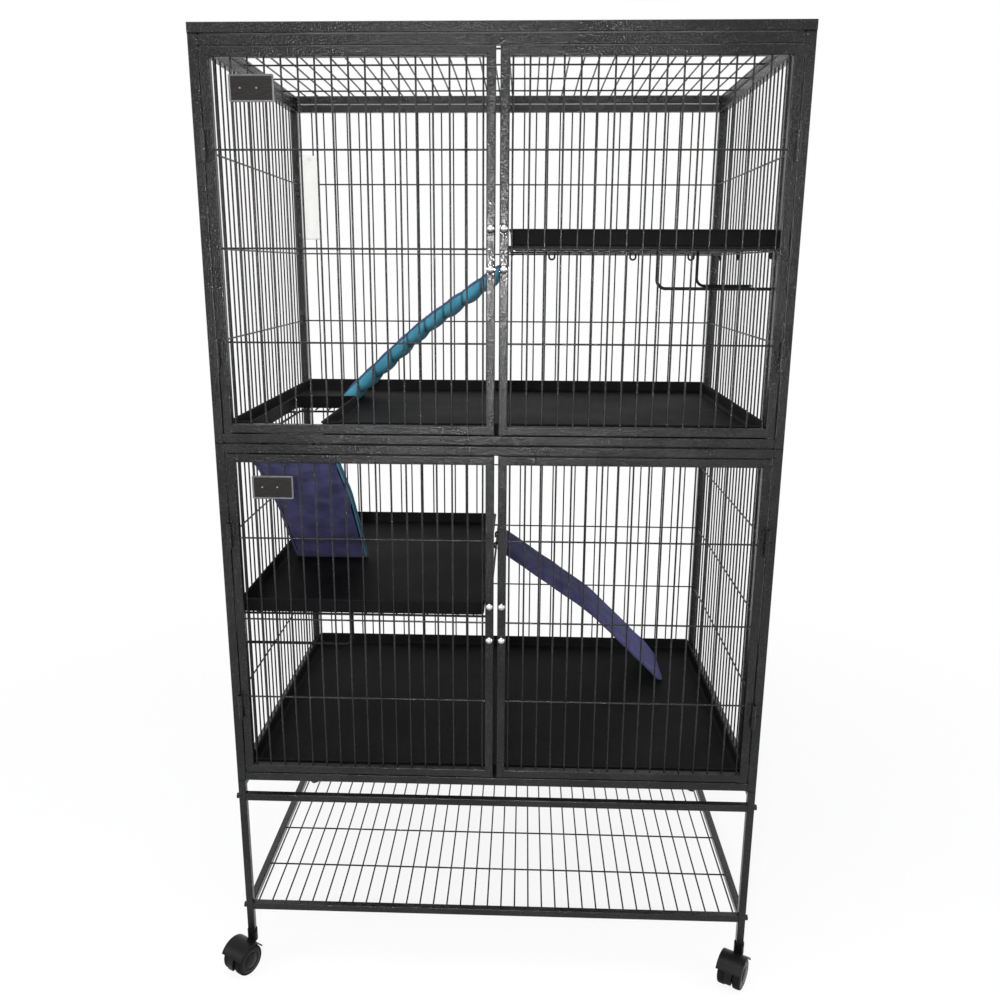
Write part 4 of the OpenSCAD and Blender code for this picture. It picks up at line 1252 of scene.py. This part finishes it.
@dataclass
class NamePlate(Piece):
    """A bare plate with a raised rim in front of the bars, riveted to a strip behind them.

    Attributes:
        storey: Storey whose left door carries it.
        pitch: Distance between the two rivets.
        sheet: Thickness of the plate and of the strip.
        rim: Width of the raised rim.
        corner: Radius of the plate's corners.
        rivet: Radius of a rivet's head.
    """

    storey: str = "upper"
    pitch: float = 25 * MM
    sheet: float = 1.2 * MM
    rim: float = 1.8 * MM
    corner: float = 2.5 * MM
    rivet: float = 2.0 * MM

    def face(self, low: Vector, high: Vector) -> Tuple[Array, List[Tuple[int, ...]], int]:
        """Plate with a rolled rim: rings of one outline, each at its own inset and depth behind the front.

        Returns:
            Points, faces, and the number of faces that belong to the rim.
        """
        rim, sheet = self.rim, self.sheet
        section = [
            (1.0 * MM, sheet), (0.2 * MM, sheet), (0.0, sheet - 0.2 * MM), (0.0, 0.3 * MM), (0.25 * MM, 0.05 * MM),
            (0.6 * MM, 0.0), (rim - 0.4 * MM, 0.0), (rim, 0.15 * MM), (rim + 0.2 * MM, 0.5 * MM),
            (rim + 1 * MM, 0.52 * MM),
        ]
        rings = []
        for inset, depth in section:
            corners = [(low.x + inset, low.z + inset), (high.x - inset, low.z + inset),
                       (high.x - inset, high.z - inset), (low.x + inset, high.z - inset)]
            ring = rounded_outline(corners, [max(self.corner - inset, 0.4 * MM)] * 4, 6)
            rings.append(np.column_stack([ring[:, 0], np.full(len(ring), low.y + depth), ring[:, 1]]))
        faces = capped_faces(len(rings), len(rings[0]))
        return np.concatenate(rings), faces, len(faces) - 2

    def build(self) -> bpy.types.Object:
        """Makes the plate, its strip and its two rivets as one piece."""
        node = self.storey + "_name_plate"
        low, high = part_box(node)
        verts, faces, rim_faces = self.face(low, high)
        parts = [(verts, faces)]
        middle = 0.5 * (low.z + high.z)
        bars_mid = 0.5 * (low.x + high.x) - 5 * MM
        strip = rounded_outline(
            [(bars_mid - self.pitch, middle - 5 * MM), (bars_mid + self.pitch, middle - 5 * MM),
             (bars_mid + self.pitch, middle + 5 * MM), (bars_mid - self.pitch, middle + 5 * MM)], [1.5 * MM] * 4, 4
        )
        count = len(strip)
        rear = [
            np.column_stack([strip[:, 0], np.full(count, y), strip[:, 1]]) for y in (high.y - self.sheet, high.y)
        ]
        parts.append((np.concatenate(rear), capped_faces(2, count)))
        r = self.rivet
        dome = np.array([(0.9 * MM, 4.2 * MM), (0.9 * MM, 0.6 * MM), (r, 0.55 * MM), (r, 0.2 * MM),
                         (0.8 * r, -0.15 * MM), (0.5 * r, -0.35 * MM), (0.05 * r, -0.42 * MM)])
        for side in (-0.5, 0.5):
            centre = np.array([bars_mid + side * self.pitch, low.y, middle])
            parts.append(lathe(dome, centre, np.array([0.0, 1.0, 0.0]), 24))
        verts, faces, owner = joined(parts)
        material = np.where(owner == 0, 1, np.where(owner == 1, 0, 1))
        material[rim_faces] = 0
        material[rim_faces + 1] = 0
        obj = mesh_object("plate_" + self.storey, verts, faces, [self.palette.plate, self.palette.rim], material)
        domed = np.array([len(p.vertices) < 8 and owner[p.index] >= 2 for p in obj.data.polygons])
        obj.data.polygons.foreach_set("use_smooth", domed)
        outward(obj)
        return self.settle(obj, self.storey + "_door_left", Slot.PLATE, node)


@dataclass
class HangTag(Piece):
    """A bare card that hangs by a loop from a crossbar at the back, a little bowed.

    Attributes:
        card: Height of the card.
        bow: How far the card's middle stands off its sides.
        sheet: Thickness of the card.
    """

    card: float = 172 * MM
    bow: float = 3.5 * MM
    sheet: float = 0.7 * MM

    def build(self) -> bpy.types.Object:
        """Makes the card as a bowed sheet, y = bow * (1 - u^2) towards the front, and its loop."""
        low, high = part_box("hang_tag")
        rows, columns = 60, 24
        v, u = np.meshgrid(np.linspace(0, 1, rows), np.linspace(-1, 1, columns), indexing="ij")
        corner = np.clip((0.035 - np.minimum(v, 1 - v)) / 0.035, 0, 1)
        half = 0.5 * (high.x - low.x) * (1 - 0.12 * (1 - np.sqrt(1 - corner**2)))
        x = 0.5 * (low.x + high.x) + u * half
        z = low.z + v * self.card
        back = high.y - 2.5 * MM
        front = low.y
        bow = np.minimum(self.bow, back - front - self.sheet)
        y = front + bow * (1 - (1 - u**2) * (0.75 + 0.25 * np.sin(3 * v)))
        sheets = [np.stack([x, y + shift, z], -1).reshape(-1, 3) for shift in (0.0, self.sheet)]
        grid = np.arange(rows * columns).reshape(rows, columns)
        quads = np.stack([grid[:-1, :-1], grid[:-1, 1:], grid[1:, 1:], grid[1:, :-1]], -1).reshape(-1, 4)
        border = np.concatenate([grid[0], grid[1:, -1], grid[-1, -2::-1], grid[-2:0:-1, 0]])
        following = np.roll(border, -1)
        count = rows * columns
        faces = [tuple(q) for q in quads] + [tuple(reversed(q + count)) for q in quads]
        faces += [(int(b), int(a), int(a + count), int(b + count)) for a, b in zip(border, following)]
        parts: List[Tuple[Array, Sequence[Sequence[int]]]] = [(np.concatenate(sheets), faces)]
        turn = np.linspace(0, 2 * np.pi, 40, endpoint=False)
        centre = np.array([0.5 * (low.x + high.x), high.y - 3.8 * MM, high.z - 3.8 * MM])
        ring = centre + 2.8 * MM * np.stack([0.15 * np.sin(turn), np.cos(turn), np.sin(turn)], -1)
        parts.append(tube_along(ring, 0.9 * MM, 8, closed=True))
        hole = np.array([(1.2 * MM, 0.0), (3.2 * MM, 0.1 * MM), (3.4 * MM, 0.5 * MM), (1.2 * MM, 0.9 * MM)])
        top = float(y[-3, columns // 2])
        eyelet = np.array([centre[0], top - 0.4 * MM, low.z + self.card - 9 * MM])
        parts.append(lathe(hole, eyelet, np.array([0.0, 1.0, 0.0]), 24))
        path = np.array([[centre[0], centre[1] - 2.8 * MM, centre[2]], [centre[0], top, low.z + self.card - 4 * MM],
                         [centre[0], top - 0.5 * MM, low.z + self.card - 9 * MM]])
        parts.append(tube_along(path, 0.8 * MM, 8))
        verts, faces, _ = joined(parts)
        obj = mesh_object("card_tag", verts, faces, [self.palette.card])
        outward(obj)
        return self.settle(obj, "cage", Slot.TAG, "hang_tag")


@dataclass
class TwinCaster(Piece):
    """Wheels of one twin-wheel caster: crowned treads, stepped rims and domed, ringed hub caps.

    Attributes:
        which: Letters of the caster's corner.
        radius: Wheel radius.
        inner: Distance of a wheel's inner face from the middle of the caster.
        outer: Distance of its hub cap's crown from the middle.
    """

    which: str = "fl"
    radius: float = 28 * MM
    inner: float = 7.3 * MM
    outer: float = 23.5 * MM

    def profile(self) -> Array:
        """Half section of one wheel as pairs of radius and distance from the caster's middle."""
        r, i, o = self.radius / MM, self.inner / MM, self.outer / MM
        pairs = [
            (3.8, i), (r - 2.5, i), (r - 1.0, i + 0.4), (r - 0.2, i + 1.4), (r, i + 3.0), (r, o - 6.0),
            (r - 0.25, o - 4.4), (r - 1.2, o - 3.2), (r - 2.6, o - 2.7), (r - 3.2, o - 2.8), (r - 3.5, o - 3.6),
            (r - 4.4, o - 3.8), (r - 4.9, o - 3.0), (r - 5.6, o - 2.4), (r - 9.0, o - 1.9), (r - 12.5, o - 1.7),
            (r - 13.0, o - 2.6), (r - 13.8, o - 2.6), (r - 14.3, o - 1.3), (8.0, o - 0.7), (4.0, o - 0.15), (0.4, o),
        ]
        return np.array(pairs) * MM

    def build(self, frame: dict) -> bpy.types.Object:
        """Turns both wheels about their axle's line."""
        joint = next(j for j in frame["joints"] if j["name"] == "caster_%s_roll" % self.which)
        centre, axis = np.array(joint["pos_m"], float), np.array(joint["axis"], float)
        parts = [lathe(self.profile(), centre, axis * side, 72) for side in (1.0, -1.0)]
        verts, faces, _ = joined(parts)
        end_cap = np.array([len(f) > 4 for f in faces])
        out = np.abs((verts - centre) @ axis)
        radius = np.sqrt(np.maximum(((verts - centre) ** 2).sum(-1) - out**2, 0))
        first = np.array([f[0] for f in faces])
        is_tyre = ((radius[first] > self.radius - 3.0 * MM) & ~end_cap).astype(int)
        obj = mesh_object("wheels_" + self.which, verts, faces, [self.palette.caster, self.palette.tyre], is_tyre)
        outward(obj)
        rounded = np.array([len(p.vertices) <= 4 for p in obj.data.polygons])
        obj.data.polygons.foreach_set("use_smooth", rounded)
        return self.settle(obj, "caster_%s_wheel_set" % self.which, Slot.CASTER, "caster_%s_wheels" % self.which)


# ---------------------------------------------------------------- stage


@dataclass(frozen=True)
class Studio:
    """Camera, lights, world and floor.

    Attributes:
        eye: Camera position.
        yaw: Turn to the left, in radians.
        pitch: Tilt of the line of sight, negative downwards.
        roll: Turn about the line of sight.
        lens: Focal length for a 36 mm sensor.
        shift: Camera shift in X and Y.
    """

    eye: Tuple[float, float, float] = (0.0438, -1.8076, 1.2696)
    yaw: float = -0.035
    pitch: float = -0.247
    roll: float = 0.004
    lens: float = 33.94
    shift: Tuple[float, float] = (0.0092, 0.0044)

    def camera(self) -> None:
        """Makes the camera from its place and angles."""
        forward = np.array(
            [
                math.sin(self.yaw) * math.cos(self.pitch),
                math.cos(self.yaw) * math.cos(self.pitch),
                math.sin(self.pitch),
            ]
        )
        right = np.array([math.cos(self.yaw), -math.sin(self.yaw), 0.0])
        up = np.cross(right, forward)
        c, s = math.cos(self.roll), math.sin(self.roll)
        axes = np.stack([c * right + s * up, -s * right + c * up, -forward], 1)
        data = bpy.data.cameras.new("view_camera")
        data.lens, data.sensor_width = self.lens, 36.0
        data.shift_x, data.shift_y = self.shift
        data.clip_start, data.clip_end = 0.05, 60.0
        camera = bpy.data.objects.new("view_camera", data)
        camera.matrix_world = Matrix.Translation(self.eye) @ Matrix(axes.tolist()).to_4x4()
        bpy.context.scene.collection.objects.link(camera)
        bpy.context.scene.camera = camera

    @staticmethod
    def area(name: str, place: Sequence[float], target: Sequence[float], size: float, power: float) -> None:
        """Makes a square soft light that faces a point."""
        data = bpy.data.lights.new(name, "AREA")
        data.size, data.energy = size, power
        lamp = bpy.data.objects.new(name, data)
        lamp.location = place
        aim = Vector(target) - Vector(place)
        lamp.rotation_mode = "QUATERNION"
        lamp.rotation_quaternion = aim.to_track_quat("-Z", "Y")
        bpy.context.scene.collection.objects.link(lamp)

    def lights(self) -> None:
        """Makes a lamp by the camera, one overhead and one on each side."""
        self.area("lamp_front", (-0.05, -1.95, 1.29), (0.0, 0.0, 1.15), 0.17, 29.0)
        self.area("lamp_top", (-0.3, -0.9, 3.4), (0.0, 0.0, 0.8), 1.8, 32.0)
        self.area("lamp_left", (-2.6, -1.4, 1.8), (0.0, 0.0, 0.8), 1.4, 20.0)
        self.area("lamp_right", (2.6, -1.0, 1.6), (0.0, 0.0, 0.8), 1.4, 15.0)

    @staticmethod
    def seen_directly(graph: Graph) -> bpy.types.NodeSocket:
        """1 for what the camera sees directly, in a mirror or through glass, and 0 for soft light."""
        path = graph.add("LightPath").outputs
        mirrored = graph.math("MAXIMUM", path["Is Glossy Ray"], path["Is Transmission Ray"])
        return graph.math("MAXIMUM", path["Is Camera Ray"], mirrored)

    def world(self) -> None:
        """Makes a pale world that is seen as plain white."""
        world = bpy.data.worlds.new("white_world")
        world.use_nodes = True
        bpy.context.scene.world = world
        graph = Graph(world.node_tree)
        out = next(n for n in world.node_tree.nodes if n.type == "OUTPUT_WORLD")
        soft = graph.add("Background", {"Color": (0.95, 0.97, 1.0, 1.0), "Strength": 0.6})
        seen = graph.add("Background", {"Color": (1.0, 1.0, 1.0, 1.0), "Strength": 1.0})
        mix = graph.add("MixShader", {0: self.seen_directly(graph), 1: soft.outputs[0], 2: seen.outputs[0]})
        graph.tree.links.new(mix.outputs[0], out.inputs["Surface"])

    def floor(self) -> None:
        """Makes a wide white floor that keeps a soft shadow near the cage and fades into the white behind it."""
        half = 14.0
        verts = np.array([[-half, -half, 0], [half, -half, 0], [half, half, 0], [-half, half, 0]])
        material = bpy.data.materials.new("white_floor")
        material.use_nodes = True
        graph = Graph(material.node_tree)
        nodes = material.node_tree.nodes
        shader = next(n for n in nodes if n.type == "BSDF_PRINCIPLED")
        out = next(n for n in nodes if n.type == "OUTPUT_MATERIAL")
        place = graph.add("TexCoord").outputs["Object"]
        tone = graph.ramp(graph.noise(place, 3.0, 4.0), 0.3, 0.7)
        base = graph.mix(tone, (0.93, 0.93, 0.93), (0.96, 0.96, 0.96))
        graph.feed(shader, {"Base Color": base, "Roughness": 0.95, "Specular IOR Level": 0.1})
        away = graph.add("VectorMath", {0: place}, operation="LENGTH").outputs["Value"]
        share = graph.ramp(away, 0.7, 2.2, 0.86, 1.0)
        white = graph.add("Emission", {"Color": (1.0, 1.0, 1.0, 1.0), "Strength": 1.0})
        factor = graph.times(self.seen_directly(graph), share)
        mix = graph.add("MixShader", {0: factor, 1: shader.outputs[0], 2: white.outputs[0]})
        graph.tree.links.new(mix.outputs[0], out.inputs["Surface"])
        floor = mesh_object("floor", verts, [(0, 1, 2, 3)], [material], smooth=False)

    def build(self) -> None:
        """Makes the whole studio."""
        self.camera()
        self.lights()
        self.world()
        self.floor()
        bpy.context.scene.view_settings.view_transform = "Standard"
        LOG.info("studio: lens %.2f mm", self.lens)


def joint_place(frame: dict, name: str) -> Tuple[float, float, float]:
    """Position of a hinge of the record."""
    return tuple(next(j["pos_m"] for j in frame["joints"] if j["name"] == name))


def main() -> None:
    """Builds the scene."""
    logging.basicConfig(level=logging.INFO, format="%(name)s: %(message)s")
    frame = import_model()
    Studio().build()
    palette = Palette()
    Steelwork(palette).dress(frame)
    for storey in ("lower", "upper"):
        notch = (-397 * MM, -287 * MM, 13 * MM) if storey == "upper" else None
        MouldedTray(palette, node=storey + "_tray", notch=notch).build()
        MouldedTray(palette, node=storey + "_shelf_tray").build()
        NamePlate(palette, storey=storey).build()
    HangTag(palette).build()
    for corner in ("fl", "fr", "rl", "rr"):
        TwinCaster(palette, which=corner).build(frame)
    PaddedRamp(
        palette, node="ramp_upper_cover", body="ramp_upper", origin=joint_place(frame, "ramp_upper_lift"),
        heading=180.0, low=42.5, rise=297.3 * MM, riser=27.6 * MM, thick=28 * MM, squareness=3.2, ties=9, dip=0.24,
        bulge=6 * MM, cords=True, edge_at=0.62, swelling=5 * MM, seed=3,
    ).build()
    # The lower ramp's foot is painted lighter, and its drawn-in places get less painted shade.
    PaddedRamp(
        palette, node="ramp_lower_cover", body="ramp_lower", origin=joint_place(frame, "ramp_lower_lift"),
        heading=0.0, rise=297.3 * MM, ties=9, edge_at=-0.75, painted_fold_shade=0.4, fade=(0.08, 0.95), seed=5,
    ).build()
    PaddedRamp(
        palette, node="ramp_middle_cover", body="ramp_middle", origin=joint_place(frame, "ramp_middle_lift"),
        heading=90.0, up=37.0, low=47.0, rise=299.0 * MM, riser=19 * MM, ties=7, dip=0.03, edge_at=0.55, flipped=True,
        wrap=6 * MM, painted_fold_shade=0.15, fade=(0.0, 0.1), seed=7,
    ).build()


if __name__ == "__main__":
    main()
